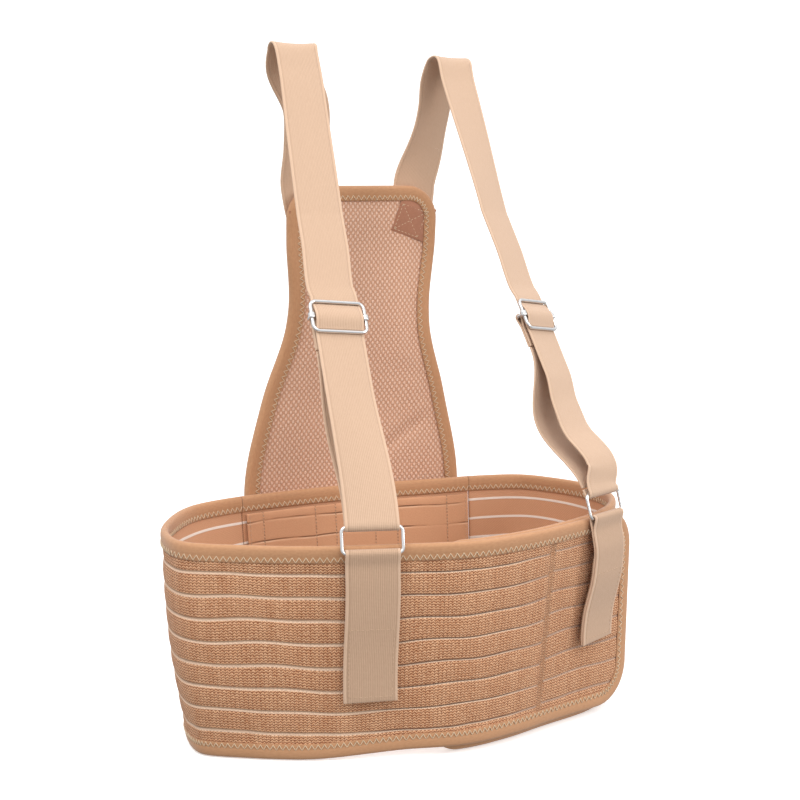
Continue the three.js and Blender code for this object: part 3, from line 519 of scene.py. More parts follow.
def make_lining():
    f = Finish("rear_lining_knit", roughness=0.9, sheen=0.15)
    twill = ((f.along * 1.2 - f.up) * (TURN / 1.25)).sine() * 0.5 + 0.5
    grain = f.spot(0.8, 0.8)
    base = f.mixed((0.53, 0.255, 0.135), (0.74, 0.405, 0.235), twill * 0.6 + grain * 0.4)
    base = f.mixed(base, (0.62, 0.32, 0.18), f.spot(0.05, 0.03).step(0.45, 0.7) * 0.5)
    near = (f.up - FIRST_STRIPE + f.spot(0.02, 0.01) * 3 - 1.5).wrap(STRIPE_PITCH / 2)
    present = f.spot(0.03, 0.07).step(0.3, 0.62)
    # Painted shade: dark slits in the creases where the drawn threads gather the lining.
    slit = near.size().step(0.75, 0.15) * present
    base = f.mixed(base, (0.15, 0.065, 0.035), slit * 0.75)
    # Painted highlight on the lower lip of each crease.
    base = f.mixed(base, (0.92, 0.66, 0.46), near.step(-0.5, -0.9) * near.step(-1.7, -1.1) * present * 0.5)
    holes = 0.0
    for channel in CHANNELS[1:-1]:
        wrapped = channel if channel < GIRTH / 2 else channel - GIRTH
        line = (f.along - wrapped).size().step(0.75, 0.3)
        holes = line * (f.up * (TURN / 2.6)).sine().step(-0.4, 0.5) + holes
    base = f.mixed(base, (0.30, 0.14, 0.075), holes * 0.6)
    f.colour(base)
    f.relief(twill * 0.07 - slit * 0.5 - holes * 0.3)
    return f.material


def make_cover():
    f = Finish("panel_cover_knit", roughness=0.88, sheen=0.2)
    lean = f.along + f.up.calc("PINGPONG", 1.3) * 0.35
    loops = (f.up * (TURN / 1.3)).sine() * (lean * (TURN / 1.1)).sine()
    grain = f.spot(0.5, 0.5)
    base = f.mixed((0.50, 0.285, 0.17), (0.62, 0.375, 0.235), loops * 0.3 + 0.5)
    f.colour(f.mixed(base, (0.44, 0.24, 0.14), grain.step(0.45, 0.7) * 0.4))
    f.relief(loops * 0.12 + grain * 0.1)
    return f.material


lining_finish, cover_finish = make_lining(), make_cover()

# %% [markdown]
# ### Binding tape, thread and webbing
# The binding is a satin-faced folded tape, with painted shade darkening it towards the
# edges of its legs, so that it looks a little brighter on its fold. Thread is twisted, so
# it has slanted ridges. The straps' elastic webbing has fine ribs along it, a paler woven
# edge on each side, and painted shade in the groove just inside that edge.


# %% Tape, thread and webbing
def make_tape():
    f = Finish("binding_tape", roughness=0.72, sheen=0.25, specular=0.35)
    ribs = (f.along * (TURN / 0.9)).sine()
    grain = f.spot(0.35, 0.8)
    base = f.mixed((0.51, 0.26, 0.13), (0.56, 0.295, 0.152), grain.step(0.3, 0.7))
    # Painted shade: the tape darkens near the edges of its legs, where it meets the cloth.
    base = f.mixed(base, (0.39, 0.195, 0.10), f.up.step(10.9, 12.0) * 0.5)
    f.colour(f.mixed(base, (0.48, 0.25, 0.13), ribs.step(0.2, 1.0) * 0.35))
    f.relief(ribs * 0.03 + grain * 0.05)
    return f.material


def make_thread(name, light, dark):
    f = Finish(name, roughness=0.6, sheen=0.2, specular=0.4)
    twist = (f.along * (TURN / 0.7) + f.up).sine() * 0.5 + 0.5
    f.colour(f.mixed(dark, light, twist))
    f.relief(twist * 0.05)
    return f.material


def make_webbing(name, light, dark, edge):
    """On webbing, up is the distance from its middle line."""
    f = Finish(name, roughness=0.85, sheen=0.3)
    ribs = (f.up * (TURN / 1.25)).sine() * 0.5 + 0.5
    picks = (f.along * (TURN / 0.95)).sine() * 0.5 + 0.5
    grain = f.spot(0.25, 0.7)
    border = f.up.size().step(WEB_HALF - 2.3, WEB_HALF - 2.9)
    base = f.mixed(dark, light, ribs * 0.45 + grain * 0.4 + picks * 0.15)
    selvedge = f.up.size().step(WEB_HALF - 2.2, WEB_HALF - 1.9)
    # Painted shade: the groove just inside each woven edge is darkened.
    groove = (f.up.size() - (WEB_HALF - 2.5)).size().step(0.6, 0.15)
    base = f.mixed(base, edge, selvedge * 0.55)
    base = f.mixed(base, dark, groove * 0.55)
    f.colour(base)
    f.relief(ribs * 0.13 * border + picks * 0.04 + grain * 0.05 - groove * 0.15)
    return f.material


tape_finish = make_tape()
thread_finish = make_thread("cream_thread", (0.86, 0.69, 0.48), (0.62, 0.45, 0.29))
tan_thread_finish = make_thread("tan_thread", (0.70, 0.50, 0.34), (0.45, 0.28, 0.17))
webbing_finish = make_webbing(
    "strap_webbing", (0.665, 0.465, 0.33), (0.535, 0.35, 0.235), (0.70, 0.49, 0.345)
)
tab_finish = make_webbing("tab_webbing", (0.62, 0.42, 0.29), (0.45, 0.285, 0.185), (0.72, 0.505, 0.36))

# %% [markdown]
# ### Mesh, patch and hook tape
# The panel is spacer mesh: two knitted faces held apart, whose open side shows pale
# oval loops in a diamond pattern. Its corner patches are tough twill, and the closures
# are hook tape, a field of tiny stiff hooks.


# %% Mesh, patch and hook
def make_airmesh():
    f = Finish("panel_spacer_mesh", roughness=0.9, sheen=0.15)
    warp = f.spot(0.02, 0.02)
    across, up = f.along + warp * 3, f.up + warp * 4

    def ovals(shift):
        a = (across + 2.1 * shift).wrap(2.1) / 1.2
        b = (up + 2.6 * shift).wrap(2.6) / 1.5
        return (a * a + b * b).step(1.25, 0.25)

    loops = ovals(0) + ovals(1)
    crossing = ((across * 1.238 + up) * (TURN / 5.2)).sine() * ((across * 1.238 - up) * (TURN / 5.2)).sine()
    grain = f.spot(0.9, 0.9)
    base = f.mixed((0.55, 0.285, 0.178), (0.68, 0.39, 0.26), grain.step(0.3, 0.7))
    base = f.mixed(base, (0.44, 0.215, 0.128), crossing.step(0.15, 0.6) * 0.45)
    f.colour(f.mixed(base, (0.90, 0.645, 0.505), loops * (0.45 + grain * 0.45)))
    f.relief(loops * 0.4 + grain * 0.12)
    return f.material


def make_patch():
    f = Finish("corner_patch_twill", roughness=0.85, sheen=0.35)
    twill = ((f.along + f.up) * (TURN / 0.9)).sine() * 0.5 + 0.5
    grain = f.spot(0.3, 0.3)
    base = f.mixed((0.34, 0.145, 0.085), (0.46, 0.215, 0.132), twill * 0.5 + grain * 0.5)
    f.colour(base)
    f.relief(twill * 0.08)
    return f.material


def make_hook():
    f = Finish("hook_tape", roughness=0.7, specular=0.4)
    a = (f.along * (TURN / 1.4)).sine()
    b = (f.up * (TURN / 1.4)).sine()
    hooks = (a * b).step(0.1, 0.8)
    f.colour(f.mixed((0.46, 0.29, 0.185), (0.75, 0.55, 0.39), hooks))
    f.relief(hooks * 0.6)
    return f.material


airmesh_finish, patch_finish, hook_finish = make_airmesh(), make_patch(), make_hook()

# %% [markdown]
# ### Metal
# The wire parts are nickel-chrome plated: bright, with darker patches at random as painted
# dark reflections, a little rougher there too. The stays are plain spring steel, brushed lengthwise.
# Stays come from the CAD model as they are, so their grain is placed in object space.


# %% Chrome and steel
def make_chrome():
    f = Finish("plated_wire", roughness=0.12, metallic=1.0, specular=0.5)
    painted_reflection_and_rough_patches = f.spot(0.12, 0.2)
    # Painted reflection: darker patches at random stand in for dark reflections; they are also a little
    # rougher.
    f.colour(f.mixed((0.80, 0.80, 0.805), (0.70, 0.695, 0.69), painted_reflection_and_rough_patches.step(0.45, 0.75)))
    f.rough(0.05 + painted_reflection_and_rough_patches * 0.06)
    return f.material


def make_steel():
    f = Finish("stay_steel", roughness=0.4, metallic=1.0, specular=0.5)
    place = f.make("TexCoord", {}, {}, out="Object")
    brushed = f.make("VectorMath", {"operation": "MULTIPLY"}, {0: place, 1: (2500.0, 2500.0, 60.0)})
    streak = f.make("TexNoise", {}, {"Vector": brushed, "Scale": 1.0, "Detail": 2.0})
    f.colour(f.mixed((0.50, 0.51, 0.53), (0.64, 0.65, 0.66), streak))
    f.rough(0.3 + streak * 0.2)
    return f.material


chrome_finish, steel_finish = make_chrome(), make_steel()
for name, node in frame["nodes"].items():
    if "stay" in name:
        node.material_slots[0].material = steel_finish
print("finishes:", sorted(m.name for m in bpy.data.materials))

# %% [markdown]
# ## Camera, floor and light
# The brace is looked at from its right front, a little from above, with a long lens so
# that it is hardly foreshortened. The light comes mostly from above, from a bright
# ceiling and three soft lamps, so faces that look down fall into a gentle shade. The pale
# sweep glows a little by itself and throws no light back up under the cloth.

# %% Studio
camera = bpy.data.objects.new("studio_camera", bpy.data.cameras.new("studio_camera"))
bpy.context.scene.collection.objects.link(camera)
camera.location = (-0.5802, -1.0676, 0.403)
camera.rotation_mode = "QUATERNION"
camera.rotation_quaternion = (Vector((0.00177, 0.00341, 0.237)) - camera.location).to_track_quat("-Z", "Y")
camera.data.lens, camera.data.sensor_width = 74.66, 36
camera.data.clip_start, camera.data.clip_end = 0.05, 50
bpy.context.scene.camera = camera
bpy.context.scene.view_settings.view_transform = "Standard"

world = bpy.data.worlds.new("studio_world")
world.use_nodes = True
sky = world.node_tree.nodes
background = sky["Background"]
split = sky.new("ShaderNodeSeparateXYZ")
world.node_tree.links.new(sky.new("ShaderNodeTexCoord").outputs["Generated"], split.inputs[0])
fade = sky.new("ShaderNodeMapRange")
for key, value in ((1, -0.9), (2, 0.9), (3, 0.30), (4, 1.22)):
    fade.inputs[key].default_value = value
world.node_tree.links.new(split.outputs["Z"], fade.inputs[0])
world.node_tree.links.new(fade.outputs[0], background.inputs["Strength"])
background.inputs["Color"].default_value = (1, 1, 1, 1)
bpy.context.scene.world = world


def lamp(name, place, size, power):
    light = bpy.data.lights.new(name, "AREA")
    light.shape, light.size, light.energy = "DISK", size, power
    piece = bpy.data.objects.new(name, light)
    piece.location = place
    piece.rotation_mode = "QUATERNION"
    piece.rotation_quaternion = (Vector((0, 0, 0.25)) - Vector(place)).to_track_quat("-Z", "Y")
    bpy.context.scene.collection.objects.link(piece)


lamp("key_softbox", (-0.1, -1.9, 1.6), 1.1, 11)
lamp("top_softbox", (-1.0, -0.4, 1.8), 1.2, 11)
lamp("side_softbox", (1.5, -1.4, 0.9), 1.0, 12)

floor_mesh = bpy.data.meshes.new("floor_sweep")
run = [(-3.0, 0.0), (2.2, 0.0), (2.9, 0.08), (3.4, 0.4), (3.6, 1.0), (3.6, 3.0)]
floor_mesh.from_pydata(
    [(x, y, z - 0.0005) for y, z in run for x in (-4, 4)],
    [],
    [(2 * i, 2 * i + 1, 2 * i + 3, 2 * i + 2) for i in range(len(run) - 1)],
)
floor = bpy.data.objects.new("floor_sweep", floor_mesh)
bpy.context.scene.collection.objects.link(floor)
paper = bpy.data.materials.new("pale_paper")
paper.use_nodes = True
paper.node_tree.nodes["Principled BSDF"].inputs["Base Color"].default_value = (0.95, 0.95, 0.95, 1)
paper.node_tree.nodes["Principled BSDF"].inputs["Roughness"].default_value = 0.9
paper.node_tree.nodes["Principled BSDF"].inputs["Emission Color"].default_value = (1, 1, 1, 1)
paper.node_tree.nodes["Principled BSDF"].inputs["Emission Strength"].default_value = 0.4
floor_mesh.materials.append(paper)
floor.visible_diffuse = floor.visible_glossy = False
floor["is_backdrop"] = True
print("camera at", [round(v, 3) for v in camera.location])

# %% [markdown]
# ## Belt cloth
# The outer wing and the front flap are one length of elastic on the real brace, sewn
# through at the belly, so they are one mesh here. Rows of points are set close together
# at each drawn thread, so that the bands between them really puff up and the threads
# really sink in; a bump alone would leave the outline flat.

# %% Rows of points up the belt
THREADS = FIRST_STRIPE + STRIPE_PITCH * np.arange(STRIPES)


def belt_rows(low, high):
    near = np.concatenate([t + vec(-2.2, -1.3, -0.8, -0.35, 0.15, 0.6, 1.1, 2.0) for t in THREADS])
    between = np.concatenate([t + vec(4.2, 8.15, 12.1) for t in [FIRST_STRIPE - STRIPE_PITCH, *THREADS]])
    inside = np.concatenate([near, between])
    inside = np.sort(inside[(inside > low + 2.4) & (inside < high - 2.4)])
    ends = vec(0, 0.2, 0.7, 1.5)
    return np.concatenate([low + ends, inside, high - ends[::-1]])


def puffed(along, up, depth=0.75, puff=0.55):
    """Relief of the elastic's outer face: bands that swell between drawn threads."""
    q = np.mod(up - FIRST_STRIPE + STRIPE_PITCH / 2, STRIPE_PITCH) - STRIPE_PITCH / 2
    band = puff * np.clip(1 - ((np.abs(q) - STRIPE_PITCH / 2) / 6.8) ** 2, 0, 1)
    uneven = 0.75 + 0.25 * np.sin(along / 23 + up / 9) * np.sin(along / 51)
    groove = depth * np.exp(-((q / 0.75) ** 2))
    return band * uneven - groove * (0.8 + 0.2 * np.sin(along / 13))


def wander(along, up):
    """How the drawn threads stray up and down, in mm."""
    middle = 4 * (up / BELT_HEIGHT) * (1 - up / BELT_HEIGHT)
    stray = 0.9 * np.sin(along / 41 + 0.5) + 0.7 * np.sin(along / 19 + up / 31)
    stray = stray + 0.5 * np.sin(along / 9.5 + up / 17)
    step = 3.0 * smooth(along, SEAM - 2.5, SEAM + 2.5)
    droop = -4.0 * smooth(along, 300, 372) * (1 - smooth(along, 372, 440)) * (1 - smooth(up, 30, 110))
    return middle * (stray + step) + middle * droop


def rounded_off(to_end, radius=CORNER - EDGE):
    d = np.clip(radius - to_end, 0, None)
    return radius - np.sqrt(np.clip(radius**2 - d**2, 0, None))


def belt_cloth(
    name, start, stop, bottom, top, outer_at, thick, finish, slot, relief=puffed, stray=wander, place=on_belt
):
    along = stations(start, stop, 3.0)[:, None]
    rows = belt_rows(float(np.min(bottom(along))), float(np.max(top(along))))[None, :]
    low, high = bottom(along), top(along)
    up = np.clip(rows + stray(along, rows), low, high)
    up = np.where(rows <= low, low, np.where(rows >= high, high, up))
    flat_up = np.clip(rows, low, high) + 0 * along
    border = np.minimum(np.minimum(up - low, high - up), np.minimum(along - start, stop - along) + 0 * up)
    share = edge_round(border, 1.3)
    soft = smooth(border, 0, 4)
    middle = outer_at(along) - thick / 2
    out = middle + thick / 2 * share + relief(along, flat_up) * soft
    inn = middle - thick / 2 * share
    flat = np.stack(np.broadcast_arrays(along, flat_up), -1)
    piece = skin(name, place(along, up, out), place(along, up, inn), flat, finish, slot)
    print(f"{name}: {len(piece.data.vertices)} points, {stop - start:.0f} mm round")
    return piece


# %% [markdown]
# The wearer's right wing runs from the back seam round the hip and on to the flap's
# rounded end. Near the sewn seam the cloth is pinched in by about a millimetre.


# %% Outer wing and flap
def always(value):
    return lambda along: value + 0 * along


def wing_relief(along, up):
    pinch = 0.6 * np.exp(-(((along - SEAM) / 3.2) ** 2))
    near_edges = np.exp(-((up - 140) / 9) ** 2) + np.exp(-((up - 17) / 9) ** 2)
    ripple = 0.35 * np.sin(along / 4.3 + up / 60) * near_edges
    return puffed(along, up) * (1 - 0.7 * np.exp(-(((along - SEAM) / 3) ** 2))) - pinch + ripple


FLAP_STOP = FLAP_END - EDGE
outer_wing = belt_cloth(
    "outer_wing_and_flap_elastic",
    REAR_RIGHT + GAP,
    FLAP_STOP,
    lambda a: hem_at(a) + EDGE + rounded_off(FLAP_STOP - a),
    lambda a: BELT_HEIGHT - EDGE - rounded_off(FLAP_STOP - a),
    always(0),
    ELASTIC,
    elastic_finish,
    "elastic",
    relief=wing_relief,
    place=on_flap,
)
rear_band = belt_cloth(
    "rear_band_elastic", REAR_LEFT - GIRTH, REAR_RIGHT, always(EDGE), always(BELT_HEIGHT - EDGE),
    always(0), ELASTIC, elastic_finish, "elastic",
)
inner_start = INNER_END + EDGE
inner_wing = belt_cloth(
    "inner_wing_elastic",
    inner_start,
    REAR_LEFT - GAP,
    lambda a: EDGE + rounded_off(a - inner_start),
    lambda a: BELT_HEIGHT - EDGE - rounded_off(a - inner_start),
    lambda a: -lap_at(a),
    ELASTIC,
    elastic_finish,
    "elastic",
    stray=lambda a, u: wander(a, u) * 0.6,
)


# %% [markdown]
# The lining lies over four spring-steel stays. Beside each stay it is stitched down,
# so it stands up in channels, and the drawn threads pull fine creases across it.


# %% Rear lining
def lining_relief(along, up):
    """The lining's inner face: channels over the stays, and drawn creases."""
    rise = 0.0
    for left, right in zip(CHANNELS[1:-1:2], CHANNELS[2:-1:2]):
        left, right = (c if c < GIRTH / 2 else c - GIRTH for c in (left, right))
        left, right = min(left, right), max(left, right)
        rise = rise + 0.55 * smooth(along, left, left + 3) * (1 - smooth(along, right - 3, right))
    q = np.mod(up - FIRST_STRIPE + STRIPE_PITCH / 2, STRIPE_PITCH) - STRIPE_PITCH / 2
    crease = 0.45 * np.exp(-((q / 0.8) ** 2)) * (0.6 + 0.4 * np.sin(along / 15 + up / 12))
    return rise - crease


lining_thick = 1.4
along = stations(REAR_LEFT - GIRTH + 2, REAR_RIGHT - 2, 2.5)[:, None]
rows = belt_rows(13.5, 141.5)[None, :]
up = np.clip(rows + wander(along, rows) * 0.5, 13.5, 141.5)
to_ends = np.minimum(along - along[0], along[-1] - along)
border = np.minimum(np.minimum(up - 13.5, 141.5 - up), to_ends + 0 * up)
half = lining_thick / 2 * edge_round(border, 0.8)
flat = np.stack(np.broadcast_arrays(along, rows + 0 * along), -1)
rear_lining = skin(
    "rear_lining_cloth",
    on_belt(along, up, -5.4 + half),
    on_belt(along, up, -5.4 - half - lining_relief(along, rows) * smooth(border, 0, 3)),
    flat,
    lining_finish,
    "lining",
)
print("lining points:", len(rear_lining.data.vertices))

# %% [markdown]
# ## Folded binding
# Every raw edge is wrapped in tape and closed with a zigzag stitch. The tape is swept
# along a path on the flat pattern, with a section that is a rounded fold, two legs and
# a slight dent where the thread pulls it down. The zigzag is real thread on both faces,
# laid from one side of that dent to the other every couple of millimetres.


# %% Paths on the pattern, tape and zigzag
def run_of(along, up, into, lap=None):
    lap = 0 * along if lap is None else lap
    none = 0 * along
    return np.stack([along, up + none, none, into + none, -ELASTIC - lap, -lap], -1)


def corner_of(centre, radius, from_deg, to_deg, inner, outer, count=16):
    a = np.radians(np.linspace(from_deg, to_deg, count + 1))
    c, s = np.cos(a), np.sin(a)
    none = 0 * a
    return np.stack([centre[0] + radius * c, centre[1] + radius * s, -c, -s, inner + none, outer + none], -1)


def tape(name, path, place, finish=None, closed=False):
    inner, outer = path[:, 4:5] - TAPE_AIR - TAPE, path[:, 5:6] + TAPE_AIR + TAPE
    middle, half = (inner + outer) / 2, (outer - inner) / 2
    fold = min(2.9, float(half.min()))
    turn = np.radians(np.linspace(-90, 90, 11))
    legs = vec(12, 11.7, 11.2, 9.5, 8, 7.2, 6.2, 4.5)
    depth = np.concatenate([legs, fold - fold * np.cos(turn), legs[::-1]])
    side = np.concatenate([-np.ones(8), np.sin(turn), np.ones(8)])
    dent = 0.32 * smooth(depth, 6.6, 8.2) + 0.3 * smooth(depth, 11, 12)
    full = 0.25 * np.exp(-(((depth - 4.5) / 2.5) ** 2))
    level = middle + side * (half - dent + full)
    slim = np.where(np.abs(side) > 0.99, 1.0, np.abs(side))
    inside = middle + side * (half - dent + full - TAPE * slim * edge_round(12 - depth, 0.5))
    deeper = np.maximum(depth, TAPE)
    run = np.concatenate([[0], np.cumsum(np.hypot(*np.diff(path[:, :2], axis=0).T))])
    faces = []
    for d, lift in ((depth, level), (deeper, inside)):
        faces.append(place(path[:, 0:1] + path[:, 2:3] * d, path[:, 1:2] + path[:, 3:4] * d, lift))
    flat = np.stack(np.broadcast_arrays(run[:, None], depth[None, :]), -1)
    return skin(name, faces[0], faces[1], flat, finish or tape_finish, "tape", closed)


def zigzag(name, path, place, pitch=4.7, sides=(1, -1), closed=False, radius=0.3):
    if closed:
        path = np.vstack([path, path[:1]])
    run = np.concatenate([[0], np.cumsum(np.hypot(*np.diff(path[:, :2], axis=0).T))])
    count = max(2, round(run[-1] / pitch)) * 8
    where = np.linspace(run[0] + 0.5, run[-1] - 0.5, count + 1)
    p = np.stack([np.interp(where, run, path[:, k]) for k in range(6)], -1)
    phase = (np.arange(count + 1) % 8) / 8
    swing = 1 - 4 * np.abs(phase - 0.5)
    uneven = 0.25 * np.sin(where * 1.7) + 0.2 * np.sin(where * 0.61)
    depth = 9.5 + (1.85 + 0.12 * uneven) * swing
    arch = 0.3 * (1 - swing**4)
    runs = []
    for side in sides:
        level = np.where(side > 0, p[:, 5], p[:, 4]) + side * (TAPE_AIR + TAPE - 0.33 + 0.12 + arch)
        at = place(p[:, 0] + p[:, 2] * depth, p[:, 1] + p[:, 3] * depth, level)
        above = place(p[:, 0] + p[:, 2] * depth, p[:, 1] + p[:, 3] * depth, level + side)
        runs.append((at, unit(above - at)))
    return tubes(name, runs, radius, 5, thread_finish, "tape")


top_run = stations(REAR_RIGHT + GAP, FLAP_END - CORNER, 3.0, ends=(0, 1, 2))
outer_path = np.vstack(
    [
        run_of(top_run, BELT_HEIGHT, -1.0),
        corner_of((FLAP_END - CORNER, BELT_HEIGHT - CORNER), CORNER, 90, 0, -ELASTIC, 0)[1:],
        corner_of((FLAP_END - CORNER, CORNER + 5), CORNER, 0, -90, -ELASTIC, 0)[:-1],
        run_of(top_run[::-1], hem_at(top_run[::-1]), 1.0),
    ]
)
rear_run = stations(REAR_LEFT - GIRTH, REAR_RIGHT, 3.0, ends=(0, 1, 2))
inner_run = stations(INNER_END + CORNER, REAR_LEFT - GAP, 3.0, ends=(0, 1, 2))
inner_path = np.vstack(
    [
        run_of(inner_run[::-1], BELT_HEIGHT, -1.0, lap_at(inner_run[::-1])),
        corner_of((INNER_END + CORNER, BELT_HEIGHT - CORNER), CORNER, 90, 180, -ELASTIC - LAP, -LAP)[1:],
        corner_of((INNER_END + CORNER, CORNER), CORNER, 180, 270, -ELASTIC - LAP, -LAP)[:-1],
        run_of(inner_run, 0.0, 1.0, lap_at(inner_run)),
    ]
)
outer_tape = tape("outer_wing_and_flap_binding", outer_path, on_flap)
outer_zigzag = zigzag("outer_wing_and_flap_zigzag", outer_path, on_flap)
rear_tapes, rear_zigzags = [], []
for edge, height, into in (("top", BELT_HEIGHT, -1.0), ("hem", 0.0, 1.0)):
    rear_path = run_of(rear_run, height, into)
    rear_tapes.append(tape(f"rear_band_binding_{edge}", rear_path, on_belt))
    rear_zigzags.append(zigzag(f"rear_band_zigzag_{edge}", rear_path, on_belt))
inner_tape = tape("inner_wing_binding", inner_path, on_belt)
inner_zigzag = zigzag("inner_wing_zigzag", inner_path, on_belt)
print("binding run on the outer wing and flap:", round(float(lengths(outer_path[:, :2])[-1])), "mm")

# %% [markdown]
# Straight seams are lines of short stitches with a gap where the needle went down. Each
# one is a little capsule of thread that rises from the cloth and goes back into it.


# %% Straight stitches
def stitches(name, lines, finish, slot, length=2.5, gap=0.9, radius=0.24, lift=0.16):
    """lines: (points, normals) of each seam line."""
    runs = []
    for line, normal in lines:
        line, normal = np.asarray(line, float), np.asarray(normal, float)
        run = lengths(line)
        count = max(1, int((run[-1] + gap) // (length + gap)))
        step = (run[-1] + gap) / count
        for i in range(count):
            where = i * step + np.linspace(0, step - gap, 5)
            p = np.stack([np.interp(where, run, line[:, k]) for k in range(3)], -1)
            out = unit(np.stack([np.interp(where, run, normal[:, k]) for k in range(3)], -1))
            runs.append((p + out * lift * vec(-0.9, 0.6, 1, 0.6, -0.9)[:, None], out))
    return tubes(name, runs, vec(0.6, 1, 1, 1, 0.6) * radius, 5, finish, slot)


def on_cloth(place, along, up, level, side):
    at = place(along, up, level)
    return at, unit(place(along, up, level + side) - at)


heights = np.linspace(13, BELT_HEIGHT - 13, 60)
seam_lines = [on_cloth(on_belt, SEAM + d + 0 * heights, heights, -0.35, 1.0) for d in (-3.0, 3.0)]
seam_stitches = stitches("flap_seam_stitches", seam_lines, tan_thread_finish, "elastic", length=2.2)
channel_lines = []
for c in CHANNELS[1:-1]:
    c = c if c < GIRTH / 2 else c - GIRTH
    low_up = np.linspace(15, 140, 60)
    channel_lines.append(on_cloth(on_belt, c + 0 * low_up, low_up, -6.12, -1.0))
for c in (REAR_RIGHT - 4.5, REAR_LEFT - GIRTH + 4.5):
    low_up = np.linspace(15, 140, 60)
    channel_lines.append(on_cloth(on_belt, c + 0 * low_up, low_up, -6.12, -1.0))
lining_stitches = stitches("lining_channel_stitches", channel_lines, tan_thread_finish, "lining", radius=0.2)
print("seams:", seam_stitches.name, lining_stitches.name)

# %% [markdown]
# The flap closes with a field of hook tape on its inner face. It is thin, stiff, and
# sewn round its edge.

# %% Hook tape on the flap
along = stations(SEAM + 22, FLAP_END - 24, 3.0, ends=(0, 0.2, 0.5, 1))[:, None]
rows = stations(28, BELT_HEIGHT - 28, 4.0, ends=(0, 0.2, 0.5, 1))[None, :]
to_ends = np.minimum(along - along[0], along[-1] - along)
border = np.minimum(np.minimum(rows - 28, BELT_HEIGHT - 28 - rows), to_ends + 0 * rows)
half = 0.5 * edge_round(border, 0.5)
middle = -ELASTIC - 0.65
flat = np.stack(np.broadcast_arrays(along, rows + 0 * along), -1)
hook_faces = [on_flap(along, rows, middle + half), on_flap(along, rows, middle - half)]
flap_hooks = skin("flap_hook_tape", *hook_faces, flat, hook_finish, "hook")
print("hook tape on the flap:", round(float(along[-1, 0] - along[0, 0])), "x 99 mm")

# %% [markdown]
# ## Back panel
# The panel is a sandwich: spacer mesh on the wearer's side, two steel stays, and a
# knitted cover behind. It stands outside the belt and leans in to the shoulders. Its
# faces are not flat on the real brace: the mesh swells between the bound edges and has
# one soft crease above the belt, and the cover stands up in channels over the stays.

# %% The panel's pattern
PANEL_TOP, PANEL_FOOT, PANEL_CORNER, COVER_OUT = 394, 34, 26, 5.4


def panel_half(up):
    return mix(94, 66, smooth(up, 150, 300)) - 4 * smooth(up, 230, 285) * (1 - smooth(up, 300, 350))


def on_panel(across, up, out):
    across, up, out = np.broadcast_arrays(*(np.asarray(v, float) for v in (across, up, out)))
    x = across - 9 * (1 - smooth(up, 150, 380))
    low_up = np.minimum(up, BELT_HEIGHT)
    inset = mix(16, 2, smooth(x, 40, 150)) * (1 - low_up / BELT_HEIGHT)
    lower = 107 - 16 * ((x + 32) / 138) ** 2 - inset + 3.8
    slack = 1.6 * np.sin(up / 27 + across / 60) * smooth(up, 175, 230) * (1 - smooth(up, 330, 372))
    return np.stack([x, mix(lower, 103, smooth(up, 140, 380)) + out + slack, up], -1)


def panel_narrowing(up, trim):
    radius = PANEL_CORNER - trim
    to_end = np.minimum(PANEL_TOP - trim - up, up - PANEL_FOOT - trim)
    d = np.clip(radius - to_end, 0, None)
    return radius - np.sqrt(np.clip(radius**2 - d**2, 0, None))


def panel_cloth(name, inner, outer, front_relief, back_relief, finish, slot):
    low, high = PANEL_FOOT + EDGE, PANEL_TOP - EDGE
    up = stations(low, high, 3.0, ends=(0, 0.3, 1, 2.5, 5, 8, 12, 17, 23))[:, None]
    u = np.sin(np.linspace(-math.pi / 2, math.pi / 2, 61))[None, :]
    reach = panel_half(up) - EDGE - panel_narrowing(up, EDGE)
    across = u * reach
    border = np.minimum(reach - np.abs(across), np.minimum(up - low, high - up) + 0 * across)
    share, soft = edge_round(border, 1.0), smooth(border, 9, 30)
    middle, half = (inner + outer) / 2, (outer - inner) / 2
    flat = np.stack(np.broadcast_arrays(across, up), -1)
    return skin(
        name,
        on_panel(across, up, middle + half * share + back_relief(across, up) * soft),
        on_panel(across, up, middle - half * share - front_relief(across, up) * soft),
        flat,
        finish,
        slot,
    )


def mesh_swell(across, up):
    """The wearer's side: a shallow pillow with a crease low on the wearer's left."""
    pillow = 1.5 + 0.5 * np.sin(up / 33)
    off = (up - 168) * 0.83 - (across - 8) * 0.56
    crease = np.exp(-((off / 4.5) ** 2)) * smooth(across, 0, 25) * (1 - smooth(across, 55, 75))
    fold = np.exp(-(((up - 250 + across * 0.12) / 9) ** 2)) * smooth(across, 10, 45)
    return pillow - 2.2 * crease - 0.7 * fold


def cover_swell(across, up):
    channels = sum(smooth(np.abs(across - x), 9.5, 6.5) for x in (-30, 30))
    return 0.5 + 0.9 * channels


airmesh = panel_cloth("panel_spacer_mesh", 0, 2.4, mesh_swell, lambda a, u: 0 * a, airmesh_finish, "airmesh")
cover = panel_cloth(
    "panel_rear_cover", 4.2, COVER_OUT, lambda a, u: 0 * a, cover_swell, cover_finish, "cover"
)

side_up = stations(PANEL_FOOT + PANEL_CORNER, PANEL_TOP - PANEL_CORNER, 3.0, ends=(0, 1))


def panel_side(side, ups):
    slope = (panel_half(ups + 1) - panel_half(ups - 1)) / 2
    long = np.hypot(1, slope)
    none = 0 * ups
    return np.stack([side * panel_half(ups), ups, -side / long, slope / long, none, none + COVER_OUT], -1)


